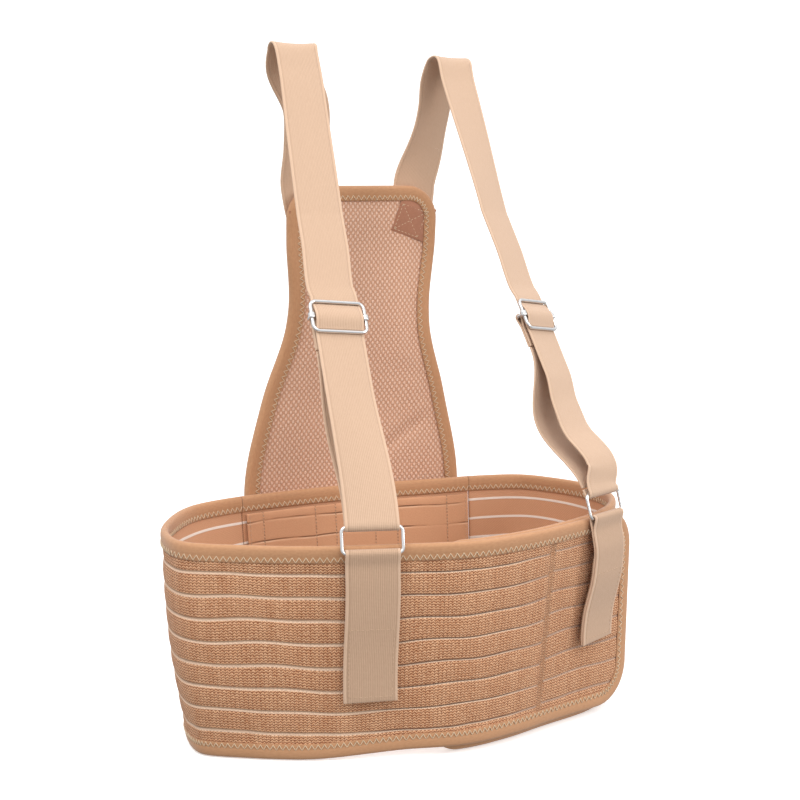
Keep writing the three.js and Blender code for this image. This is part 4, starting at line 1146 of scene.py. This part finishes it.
top_x, foot_x = panel_half(PANEL_TOP) - PANEL_CORNER, panel_half(PANEL_FOOT) - PANEL_CORNER
high_c, low_c = PANEL_TOP - PANEL_CORNER, PANEL_FOOT + PANEL_CORNER
level_run = np.linspace(-1, 1, 40)[1:-1]
flat_run = lambda reach, up, into: np.array([(x, up, 0, into, 0, COVER_OUT) for x in reach])
panel_path = np.vstack(
    [
        panel_side(1, side_up),
        corner_of((top_x, high_c), PANEL_CORNER, 0, 90, 0, COVER_OUT)[1:],
        flat_run(-level_run * top_x, PANEL_TOP, -1),
        corner_of((-top_x, high_c), PANEL_CORNER, 90, 180, 0, COVER_OUT)[:-1],
        panel_side(-1, side_up[::-1]),
        corner_of((-foot_x, low_c), PANEL_CORNER, 180, 270, 0, COVER_OUT)[1:],
        flat_run(level_run * foot_x, PANEL_FOOT, 1),
        corner_of((foot_x, low_c), PANEL_CORNER, 270, 360, 0, COVER_OUT)[:-1],
    ]
)
panel_tape = tape("panel_binding_tape", panel_path, on_panel, closed=True)
panel_zigzag = zigzag("panel_zigzag", panel_path, on_panel, closed=True)
up_line = np.linspace(64, 376, 120)
panel_lines = [
    on_cloth(on_panel, x + d + 0 * up_line, up_line, COVER_OUT + 0.55, 1.0)
    for x in (-30, 30)
    for d in (-9.6, 9.6)
]
panel_stitches = stitches("panel_channel_stitches", panel_lines, tan_thread_finish, "cover", radius=0.22)
print("panel points:", len(airmesh.data.vertices) + len(cover.data.vertices))

# %% [markdown]
# A square of brown twill inside each top corner spreads the strap's pull. Its outer
# edges go under the binding, and it is held by a box of stitches with a cross in it.


# %% Corner patches
PATCH_X, PATCH_UP = 41, 366


def patch_place(side):
    angle = math.radians(-side * 20)
    c, s = math.cos(angle), math.sin(angle)

    def place(u, v, out):
        return on_panel(side * PATCH_X + u * c - v * s, PATCH_UP + (u * s + v * c) * 0.92, out)

    def to_edge(u, v):
        """Distance to the panel's edge, round its corner."""
        across, up = PATCH_X + side * (u * c - v * s), PATCH_UP + (u * s + v * c) * 0.92
        aside, above = panel_half(up) - across, PANEL_TOP - up
        inside = np.hypot(np.maximum(PANEL_CORNER - aside, 0), np.maximum(PANEL_CORNER - above, 0))
        return np.where(inside > 0, PANEL_CORNER - inside, np.minimum(aside, above))

    return place, to_edge


patches, patch_seams = [], []
for name, side in (("right", -1), ("left", 1)):
    place, to_edge = patch_place(side)
    near, far = (-13.5, 20) if side > 0 else (-20, 13.5)
    u = stations(near, far, 2.5, ends=(0, 0.15, 0.4, 0.9))[:, None]
    v = stations(-13.5, 17, 2.5, ends=(0, 0.15, 0.4, 0.9))[None, :]
    border = np.minimum(np.minimum(u - near, far - u) + 0 * v, np.minimum(v + 13.5, 17 - v) + 0 * u)
    quilt = 0.5 * edge_round(border, 5) - 0.45 * np.exp(-(((np.abs(u) - np.abs(v)) / 1.3) ** 2))
    swell = mesh_swell(side * PATCH_X + u, PATCH_UP + v) * 0.8
    face = -swell - 0.55 * edge_round(border, 0.5) - quilt * smooth(border, 0, 2.5)
    inside = -swell * 0.9 + 0 * face
    tuck = smooth(to_edge(u, v), 15, 12.4)
    face, inside = mix(face, -0.5, tuck), mix(inside, -0.05, tuck)
    flat = np.stack(np.broadcast_arrays(u, v), -1)
    back_and_front = place(u, v, inside), place(u, v, face)
    patches.append(skin(f"strap_corner_patch_{name}", *back_and_front, flat, patch_finish, "patch"))
    seam_at = 11.3
    e = np.linspace(-seam_at, seam_at, 24)
    side_lines = [(e, e * 0 - seam_at), (e, e * 0 + seam_at), (e * 0 - seam_at, e), (e * 0 + seam_at, e)]
    lines = []
    for a, b in side_lines + [(e, e), (e, -e)]:
        level = -mesh_swell(side * PATCH_X + a, PATCH_UP + b) * 0.8 - 0.75
        lines.append(on_cloth(place, a, b, level, -1.0))
    seam_name = f"corner_patch_stitches_{name}"
    patch_seams.append(stitches(seam_name, lines, thread_finish, "patch", length=2.0, gap=1.0, radius=0.2))
print("patches:", [p.name for p in patches])

# %% [markdown]
# ## Shoulder straps
# A strap is one length of webbing. It is sewn behind the panel's top corner, arches
# over the shoulder, runs down the chest through the slider, turns round the ring's
# bar, and climbs back to be sewn round the slider's own bar. Webbing keeps its width
# and only bends and twists, so it is swept as a ribbon along one line of stations.
# Bars and directions are read from the joints, so the webbing meets the moving wires.


# %% Webbing ribbon
def ribbon(name, at, width, finish, half=WEB_HALF, thick=WEB, round_ends=(True, True), lift=None):
    at = np.asarray(at, float)
    ahead = unit(np.gradient(at, axis=0))
    width = np.broadcast_to(width, at.shape)
    across = unit(width - (width * ahead).sum(-1, keepdims=True) * ahead)
    out = np.cross(across, ahead)
    v = np.concatenate([vec(0, 0.12, 0.4, 0.75, 1.5, 2.2, 2.5, 2.8, 4), np.linspace(6, 2 * half - 6, 9)])
    v = np.concatenate([v, 2 * half - vec(0, 0.12, 0.4, 0.75, 1.5, 2.2, 2.5, 2.8, 4)[::-1]]) - half
    run = lengths(at)
    share = edge_round(half - np.abs(v), thick / 2)[None, :] * np.ones((len(at), 1))
    for end, rounded in ((run, round_ends[0]), (run[-1] - run, round_ends[1])):
        if rounded:
            share = np.minimum(share, edge_round(end, thick / 2)[:, None])
    edge_line = 0.14 * np.exp(-(((half - np.abs(v) - 2.5) / 0.3) ** 2))[None, :]
    level = thick / 2 * share - edge_line * (share > 0.9)
    bow = 0 if lift is None else lift(run[:, None], v[None, :])
    middle = at[:, None] + across[:, None] * v[None, :, None]
    place = lambda s: middle + out[:, None] * (bow + s * level)[..., None]
    flat = np.stack(np.broadcast_arrays(run[:, None], v[None, :]), -1)
    piece = skin(name, place(1), place(-1), flat, finish, "webbing")
    print(f"{name}: {run[-1]:.0f} mm of webbing")
    return piece, float(run[-1])


def evenly(points, widths, pitch=3.0, ends=(0, 0.1, 0.3, 0.8)):
    """Stations at an even pitch along a line, and their width directions."""
    run = lengths(points)
    where = stations(0, run[-1], pitch, ends=ends)
    width = np.stack([np.interp(where, run, widths[:, k]) for k in range(3)], -1)
    return at_length(points, where), unit(width)


def turned(degrees):
    a = np.radians(np.asarray(degrees, float))
    return np.stack([np.cos(a), np.sin(a), 0 * a], -1)


STRAPS = {
    "right": dict(
        side=-1, tab_x=-99, tab=107, apex=(71, 80, 501), rear_x=(-2, 1), chest=80.5, reach=154.6, slack=7,
        rear=-6, top=8, run=2, buckle=0, sag=0,
    ),
    "left": dict(
        side=1, tab_x=94, tab=94, apex=(64.5, 80, 495), rear_x=(8, 13), chest=67.5, reach=141.7, slack=11,
        rear=18, top=17, run=30, buckle=6.5, sag=3,
    ),
}


BOW_WAY = unit(vec(0.879, -0.477, 0))


def strap_lines(name, s):
    """Everything that the pieces of one strap are laid on."""
    side = s["side"]
    swing = joints[f"ring_{name}_swing"]
    top_bar = 1000 * np.array(swing["pos_m"]) - ORIGIN
    low_bar = 1000 * np.array(joints[f"tab_{name}_peel"]["pos_m"]) - ORIGIN
    across = -np.array(swing["axis"], float)
    chest = vec(side * s["chest"], 17, 374)
    rise = unit(chest - top_bar - across * np.dot(chest - top_bar, across))
    ring_out = np.cross(across, rise)
    wrap = WIRE + GAP + WEB / 2
    foot = top_bar + ring_out * wrap
    run_up = unit(chest - foot)
    bend = s["reach"] - 50
    ring_turn = math.degrees(math.atan2(across[1], across[0]))

    def run_at(distance):
        """The front run: square to the ring's bar, then straight up to the chest."""
        d = np.asarray(distance, float)[:, None]
        t = np.clip(d / bend, 0, 1)
        handles = (foot, foot + rise * bend * 0.35, foot + run_up * bend * 0.65, foot + run_up * bend)
        shares = ((1 - t) ** 3, 3 * t * (1 - t) ** 2, 3 * t**2 * (1 - t), t**3)
        low = sum(k * h for k, h in zip(shares, handles))
        at = np.where(d >= bend, foot + run_up * d, low)
        return at, turned(mix(ring_turn, s["run"], smooth(distance, 0, bend)))

    def bow_at(distance):
        """How slack webbing buckles above the ring and sags below the slider."""
        d = np.asarray(distance, float)[:, None]
        out = s["buckle"] * smooth(d, 2, 21) * (1 - smooth(d, 24, 46))
        out = out - s["sag"] * smooth(d, 36, 54) * (1 - smooth(d, 70, 96))
        past = d - s["reach"]
        crimp = smooth(past, 16, 25) * (1 - smooth(past, 27, 60))
        return BOW_WAY * (out - 1.6 * crimp)

    return dict(
        side=side, top_bar=top_bar, low_bar=low_bar, across=across, chest=chest, rise=rise, ring_out=ring_out,
        wrap=wrap, foot=foot, run_up=run_up, run_at=run_at, bow_at=bow_at,
        run_length=float(np.linalg.norm(chest - foot)),
    )


LINES = {name: strap_lines(name, s) for name, s in STRAPS.items()}
for name, L in LINES.items():
    along_slide = np.dot(L["run_up"], joints[f"slider_{name}_slide"]["axis"])
    off_line = math.degrees(math.acos(min(1, along_slide)))
    print(f"{name} strap: the front run follows the slider's joint to {off_line:.2f} degrees")

# %% [markdown]
# The rear part is one smooth curve from the sewn root to the chest. It is cut level,
# just above the hinge, into a root and the rest that swings.

# %% Strap webbing
strap_pieces = {}
for name, s in STRAPS.items():
    L = LINES[name]
    side = L["side"]
    apex_x, apex_y, apex_z = s["apex"]
    root_ups = vec(0, 12, 26)
    root_out = COVER_OUT + TAPE_AIR + TAPE + GAP + WEB / 2
    root = on_panel(side * (HINGE[0] - 12 + root_ups * 0.33), 350 + root_ups, root_out)
    over = [
        (HINGE[0] - 1, HINGE[1], HINGE[2] - 9),
        (HINGE[0], HINGE[1], HINGE[2]),
        (HINGE[0] + s["rear_x"][0], HINGE[1] - 3, HINGE[2] + 26),
        (HINGE[0] + s["rear_x"][1], HINGE[1] - 9, HINGE[2] + 58),
        (apex_x - 2.5, apex_y + 15, apex_z - 16),
        (apex_x - 0.8, apex_y + 7, apex_z - 3),
        (apex_x + 0.6, apex_y - 3, apex_z - 2.5),
        (mix(apex_x, s["chest"], 0.1), apex_y - 13, apex_z - 21),
        (mix(apex_x, s["chest"], 0.55), mix(apex_y, 17, 0.6), mix(apex_z, 374, 0.58)),
        (s["chest"], 17, 374),
    ]
    rear = spline(np.vstack([root, np.array(over) * (side, 1, 1)]), closed=False)
    hinge_run = lengths(rear)[np.abs(rear[:, 2] - HINGE[2]).argmin()]
    t = np.clip((lengths(rear) - hinge_run) / (lengths(rear)[-1] - hinge_run), 0, 1)
    turn = np.where(
        t < 0.2, mix(0, s["rear"], smooth(t, 0, 0.2)),
        mix(mix(s["rear"], s["top"], smooth(t, 0.2, 0.5)), s["run"], smooth(t, 0.5, 1)),
    )
    down = np.arange(L["run_length"] - 2, 2, -2.0)
    run_points, run_width = L["run_at"](down)
    run_points = run_points + L["bow_at"](down)
    angle = np.linspace(0, math.pi, 15)[:, None]
    loop = L["top_bar"] + L["wrap"] * (L["ring_out"] * np.cos(angle) - L["rise"] * np.sin(angle))
    tail = L["top_bar"] - L["ring_out"] * L["wrap"] + L["rise"] * vec(1.5, 3, 5)[:, None]
    points = np.vstack([rear, run_points, loop, tail])
    widths = np.vstack([turned(turn), run_width, np.tile(L["across"], (len(loop) + len(tail), 1))])
    cut = next(i for i in range(len(rear)) if rear[i, 2] > HINGE[2] + 28)
    at, width = evenly(points[: cut + 1], widths[: cut + 1], ends=(0, 0.1, 0.3, 0.8))
    root_piece, root_long = ribbon(
        f"shoulder_strap_root_{name}", at, width, webbing_finish, round_ends=(True, False)
    )
    at, width = evenly(points[cut:], widths[cut:], pitch=2.4, ends=(0, 0.1, 0.3, 0.8))
    ring_end = lengths(at)[-1]

    def curl(run, v):
        fading = smooth(run, 10, 60) * (1 - smooth(run, ring_end - 230, ring_end - 200))
        return 0.4 * np.cos(v / 13) * np.sin(run / 41) * fading

    strap_piece, strap_long = ribbon(
        f"shoulder_strap_webbing_{name}", at, width, webbing_finish, round_ends=(False, True), lift=curl
    )

    # the return run, from the ring back up to the slider's bar, with its slack
    top = s["reach"] - 24.6
    share = np.linspace(0, 1, 60)
    at, width = L["run_at"](mix(5.6, top, share))
    ahead = unit(np.gradient(at, axis=0))
    across = unit(width - (width * ahead).sum(-1, keepdims=True) * ahead)
    out = np.cross(across, ahead)
    bar_out = -(WEB + 2 * GAP + WEB / 2 + WIRE)
    slack = s["slack"] * np.sin(math.pi * share) ** 2
    at = at + out * (mix(-2 * L["wrap"], bar_out, share) - slack)[:, None]
    at = at - BOW_WAY * (s["buckle"] * np.sin(math.pi * share) ** 2)[:, None]
    at, width = evenly(at, width)
    back_piece, back_long = ribbon(f"strap_return_webbing_{name}", at, width, webbing_finish)
    strap_pieces[name] = [(root_piece, root_long), (strap_piece, strap_long), (back_piece, back_long)]

# %% [markdown]
# ## Rings, sliders and bars
# The wire parts are bent from one round wire, so they are swept too, with corners of
# about 5 mm radius. The slider's centre bar is a second wire whose ends are curled
# round the frame's short sides; each curl is a small sleeve that can slide on the frame.


# %% Wire parts
def wire_loop(name, centre, across, up, width, height, bend):
    half_w, half_h = width / 2 - WIRE, height / 2 - WIRE
    line = []
    for sx, sy, start in ((1, 1, 0), (-1, 1, 90), (-1, -1, 180), (1, -1, 270)):
        a = np.radians(start + np.linspace(0, 90, 10))[:, None]
        middle = centre + across * sx * (half_w - bend) + up * sy * (half_h - bend)
        line.append(middle + bend * (across * np.cos(a) + up * np.sin(a)))
    line = np.vstack(line)
    return tubes(name, [(line, np.cross(across, up))], WIRE, 20, chrome_finish, "chrome", closed=True)


def sleeve(name, centre, axis, side, bore, outside, long):
    """A short hollow sleeve with rounded lips."""
    other = np.cross(axis, side)
    turn = np.linspace(0, 2 * math.pi, 28, endpoint=False)
    around = side * np.cos(turn)[:, None] + other * np.sin(turn)[:, None]
    z = np.linspace(-1, 1, 9)
    wall = bore + (outside - bore) * np.sqrt(np.clip(1 - z**6, 0.0, 1))
    faces = [
        centre + around[:, None] * r[None, :, None] + axis * (z * long / 2)[None, :, None]
        for r in (wall, bore + 0 * wall)
    ]
    flat = np.stack(np.broadcast_arrays(turn[:, None] * outside, z[None, :] * long), -1)
    return skin(name, faces[0], faces[1], flat, chrome_finish, "chrome", closed=True)


LOOP_WIDTH, RING_HEIGHT, SLIDER_HEIGHT = 44.2, 20.4, 25.4
metal = {}
for name, s in STRAPS.items():
    L = LINES[name]
    ring_up = unit(L["top_bar"] - L["low_bar"])
    ring_middle = (L["top_bar"] + L["low_bar"]) / 2
    ring = wire_loop(f"ring_wire_{name}", ring_middle, L["across"], ring_up, LOOP_WIDTH, RING_HEIGHT, 3.6)
    seat = L["foot"] + L["run_up"] * s["reach"]
    wide = turned(s["run"])
    wide = unit(wide - L["run_up"] * np.dot(wide, L["run_up"]))
    out = np.cross(wide, L["run_up"])
    L.update(seat=seat, wide=wide, out=out)
    frame_out, bar_out = WEB / 2 + GAP + WIRE, -(WEB + 2 * GAP + WEB / 2 + WIRE)
    frame_at = seat + out * frame_out
    slider = wire_loop(
        f"slider_frame_wire_{name}", frame_at, wide, L["run_up"], LOOP_WIDTH, SLIDER_HEIGHT, 4.6
    )
    eye = LOOP_WIDTH / 2 - WIRE
    corners = [(-eye, frame_out - 1.9), (-eye, bar_out + 2.2), (-eye + 0.6, bar_out + 0.6)]
    corners.append((-eye + 2.2, bar_out))
    both_ends = [(x, 0, z) for x, z in corners] + [(-x, 0, z) for x, z in corners[::-1]]
    line = spline(both_ends, closed=False, count=10)
    line = seat + wide * line[:, :1] + out * line[:, 2:]
    bar = tubes(f"slider_bar_wire_{name}", [(line, L["run_up"])], WIRE * 0.96, 20, chrome_finish, "chrome")
    eyes = []
    for k, x in ((1, -eye), (2, eye)):
        eye_at = seat + wide * x + out * frame_out
        bore, outside = WIRE + 0.12, WIRE + 1.15
        eyes.append(sleeve(f"slider_bar_eye_{name}_{k}", eye_at, L["run_up"], wide, bore, outside, 5.0))
    metal[name] = dict(ring=ring, slider=slider, bar=bar, eyes=eyes)
print("wire parts:", [parts[k].name for parts in metal.values() for k in ("ring", "slider", "bar")])

# %% [markdown]
# Three more bits of webbing belong to each slider: the part of the strap that humps up
# inside the frame's window, and the end that is folded round the bar and sewn to itself
# as a doubled tongue. The fold opens like a teardrop round the bar.


# %% Webbing at the slider, and tabs
def folded(name, centre, across, down, out, long, finish, half, hole, wave=None, sway=None, tail=0.0):
    """Webbing folded over a bar: down the front, over the bar and down the back."""
    d = stations(0, long, 2.5, ends=(0, 0.1, 0.3, 0.8))
    leg = half + (hole - half) * (1 - smooth(d, 0.5, 9))
    front = np.stack([d, leg], -1)[::-1]
    back = np.stack([d * (1 + tail), -leg], -1)
    over = np.linspace(0, math.pi, 15)[1:-1]
    round_bar = np.stack([-hole * np.sin(over), hole * np.cos(over)], -1)
    path = np.vstack([front, round_bar, back])
    reach = path[:, 0:1]
    at = centre + down * reach + out * path[:, 1:2]
    if wave is not None:
        at = at + out * wave(reach) + across * sway(reach)
    return ribbon(name, at, across, finish, thick=1.4, half=WEB_HALF)


tab_pieces, end_pieces, soft_long = {}, {}, {}
for name, s in STRAPS.items():
    L = LINES[name]
    # the hump of webbing inside the slider's window
    reach = np.linspace(-9.8, 9.8, 36)
    hump = 0.95 + 2.9 * np.cos(reach / 9.8 * math.pi / 2) ** 1.3 * (1 - 0.10 * reach / 9.8)
    at = L["seat"] + L["run_up"] * reach[::-1, None] + L["out"] * (WEB / 2 + hump[::-1, None] - 0.35)
    crown, _ = ribbon(f"strap_over_bar_{name}", at, L["wide"], webbing_finish, half=WEB_HALF - 0.2, thick=0.9)
    bar_at = L["seat"] + L["out"] * -(WEB + 2 * GAP + WEB / 2 + WIRE)
    end, end_long = folded(
        f"strap_sewn_end_{name}", bar_at, L["wide"], -L["run_up"], L["out"], 24, webbing_finish, 0.78, 2.05
    )
    v = np.linspace(-WEB_HALF + 2, WEB_HALF - 2, 30)
    lines = []
    for d in (17.5, 21.5):
        for face in (1.5, -1.5):
            line = bar_at - L["run_up"] * d + L["wide"] * v[:, None] + L["out"] * face
            lines.append((line, np.tile(L["out"] * np.sign(face), (30, 1))))
    seam = stitches(
        f"strap_end_stitches_{name}", lines, thread_finish, "webbing", length=1.9, gap=0.9, radius=0.2
    )

    # the tab, with its hook tape
    t = tangent_at(along_at(s["tab_x"], True))
    away = vec(t[1], -t[0], 0)
    tab_along = along_at(s["tab_x"], True)
    down = unit(on_flap(tab_along, 0, 0) - on_flap(tab_along, BELT_HEIGHT, 0))
    out = unit(np.cross(down, L["across"]))
    out = out if np.dot(out, away) > 0 else -out
    soft = 0.25 if name == "right" else 1.0

    def wave(d, soft=soft):
        return soft * (3.4 * smooth(d, 2, 26) * (1 - smooth(d, 40, 76)) + 1.3 * smooth(d, 84, 108))

    def sway(d, soft=soft):
        return soft * (1.6 * np.sin(d / 17) * smooth(d, 4, 30) - 2.0 * smooth(d, 50, 100))

    tab, tab_long = folded(
        f"belt_tab_{name}", L["low_bar"], L["across"], down, out, s["tab"], tab_finish, 0.78, 2.3, wave, sway
    )
    d = stations(30, s["tab"] - 2, 3.0, ends=(0, 0.2, 0.5, 1))[:, None]
    v = stations(-17.2, 17.2, 3.0, ends=(0, 0.2, 0.5, 1))[None, :]
    border = np.minimum(np.minimum(d - 30, s["tab"] - 2 - d), 17.2 - np.abs(v) + 0 * d)
    half = 0.6 * edge_round(border, 0.6)
    base = L["low_bar"] + down * d[..., None] + L["across"] * (v[..., None] + sway(d)[..., None])
    level = (-WEB - 0.95 + wave(d))[..., None]
    flat = np.stack(np.broadcast_arrays(d, v), -1)
    hook_faces = [base + out * (level + half[..., None]), base + out * (level - half[..., None])]
    hooks = skin(f"belt_tab_hook_tape_{name}", *hook_faces, flat, hook_finish, "hook")
    low, high, edge = s["tab"] - 53, s["tab"] - 4, 15.2
    box = [(low, -edge, low, edge), (high, -edge, high, edge)]
    box += [(low, -edge, high, -edge), (low, edge, high, edge)]
    lines = []
    for d0, v0, d1, v1 in box:
        share = np.linspace(0, 1, 40)[:, None]
        dd, vv = mix(d0, d1, share), mix(v0, v1, share)
        line = L["low_bar"] + down * dd + L["across"] * (vv + sway(dd)) + out * (0.78 + 0.68 + wave(dd))
        lines.append((line, np.tile(out, (40, 1))))
    box_name = f"belt_tab_stitches_{name}"
    box_seam = stitches(
        box_name, lines, tan_thread_finish, "webbing", length=2.1, gap=1.1, radius=0.2, lift=0.1
    )
    tab_pieces[name] = (tab, hooks, box_seam)
    end_pieces[name] = (crown, end, seam)
    soft_long[name] = (tab_long, end_long)

# %% [markdown]
# ## What moves with what
# Most pieces now ride on their CAD bodies. The outer wing and front flap with their
# binding and seam, each strap's root and the return webbing are left where they lie
# in the frame.

# %% Riding on bodies
seam_out = unit(on_belt(SEAM + 1, BELT_HEIGHT / 2, 0) - on_belt(SEAM - 1, BELT_HEIGHT / 2, 0))
seam_mid = on_belt(SEAM, BELT_HEIGHT / 2, 0)
flap_bend = [in_frame(seam_mid + seam_out * d).tolist() for d in (-5, 5)]
for piece in (outer_wing, outer_tape, outer_zigzag):
    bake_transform(piece)
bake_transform(seam_stitches)
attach(flap_hooks, "front_flap")
for piece in (
    rear_band, inner_wing, rear_lining, *rear_tapes, *rear_zigzags, inner_tape, inner_zigzag, lining_stitches,
    airmesh, cover, panel_tape, panel_zigzag, panel_stitches, *patches, *patch_seams,
):
    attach(piece, "brace")
for name, s in STRAPS.items():
    L = LINES[name]
    (root, _), (strap, _), (back, _) = strap_pieces[name]
    hinge = HINGE * (L["side"], 1, 1)
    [in_frame(hinge + vec(0, 0, d)).tolist() for d in (-7, 9)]
    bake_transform(root)
    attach(strap, f"strap_{name}")
    start, end = L["foot"] + L["run_up"] * 10, L["seat"] - L["run_up"] * 27
    in_frame(start).tolist()
    in_frame(end).tolist()
    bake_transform(back)
    crown, end_fold, seam = end_pieces[name]
    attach(crown, f"slider_{name}")
    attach(metal[name]["slider"], f"slider_{name}")
    for piece in (end_fold, seam, metal[name]["bar"], *metal[name]["eyes"]):
        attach(piece, f"slider_bar_{name}")
    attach(metal[name]["ring"], f"ring_{name}")
    for piece in tab_pieces[name]:
        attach(piece, f"tab_{name}")
    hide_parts(f"strap_root_{name}")
    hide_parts(f"shoulder_strap_{name}")
    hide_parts(f"strap_return_{name}")
    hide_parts(f"strap_end_{name}")
    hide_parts(f"slider_frame_{name}")
    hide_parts(f"slider_bar_{name}")
    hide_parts(f"ring_{name}")
    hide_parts(f"tab_{name}")
    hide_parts(f"tab_hook_{name}")
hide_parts("right_wing_elastic", "flap_elastic")
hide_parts("rear_elastic")
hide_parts("left_wing_elastic")
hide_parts("rear_lining")
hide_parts("belt_binding_top", "belt_binding_bottom", "flap_binding")
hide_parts("left_wing_binding")
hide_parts("flap_hook_patch")
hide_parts("panel_airmesh")
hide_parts("panel_cover")
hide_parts("panel_binding")
for patch, name in zip(patches, ("right", "left")):
    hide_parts(f"strap_patch_{name}")

# %% [markdown]
# ## Cloth that is cut from flat goods
# For each length of elastic, lining, cover and webbing the size that it is cut to is
# printed.

# %% Flat sizes
MM = 0.001


def cut(piece, width, long, held, rests_on, area=None, with_pieces=()):
    flat = (width * MM, long * MM)
    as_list(rests_on)
    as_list(with_pieces)
    print(f"cut {piece.name}: {width:.0f} x {long:.0f} mm")


cut(outer_wing, BELT_HEIGHT - 2 * EDGE, FLAP_STOP - REAR_RIGHT, "stretched", [outer_tape])
cut(rear_band, BELT_HEIGHT - 2 * EDGE, REAR_RIGHT - REAR_LEFT + GIRTH, "stretched", [rear_lining])
cut(inner_wing, BELT_HEIGHT - 2 * EDGE, REAR_LEFT - inner_start, "stretched", [inner_tape])
cut(rear_lining, 128, REAR_RIGHT - REAR_LEFT + GIRTH - 4, "stretched", [rear_band])
cut(flap_hooks, BELT_HEIGHT - 56, FLAP_END - SEAM - 46, "laid", [outer_wing])
cover_area = float(np.sum(2 * panel_half(side_up[:-1]) * np.diff(side_up))) * 1e-6 + 0.0068
cut(cover, 188, PANEL_TOP - PANEL_FOOT, "stretched", [panel_tape], area=cover_area)
for name, pieces in strap_pieces.items():
    rests_on = ("panel_rear_cover", f"shoulder_strap_root_{name}", f"ring_wire_{name}")
    for (piece, long), rests in zip(pieces, rests_on):
        cut(piece, 2 * WEB_HALF, long, "hung", [rests])
    tab_long, end_long = soft_long[name]
    cut(tab_pieces[name][0], 2 * WEB_HALF, tab_long, "folded", [f"ring_wire_{name}"])
    cut(end_pieces[name][1], 2 * WEB_HALF, end_long, "folded", [f"slider_bar_wire_{name}"])
    cut(end_pieces[name][0], 2 * WEB_HALF - 0.4, 22, "laid", [f"shoulder_strap_webbing_{name}"])
for patch in patches:
    cut(patch, 33.5, 30.5, "laid", [airmesh])

# %% [markdown]
# ## Last measurements
# The cloth may stand a little proud of the CAD solids, and never much. Both boxes are
# written down so that they can be compared.

# %% Sizes and finish
bpy.context.view_layer.update()
shown_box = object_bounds()
for word, box in (("CAD", cad_box), ("visual", shown_box)):
    print(word, "box, mm:", [[round(1000 * v, 1) for v in c] for c in box])
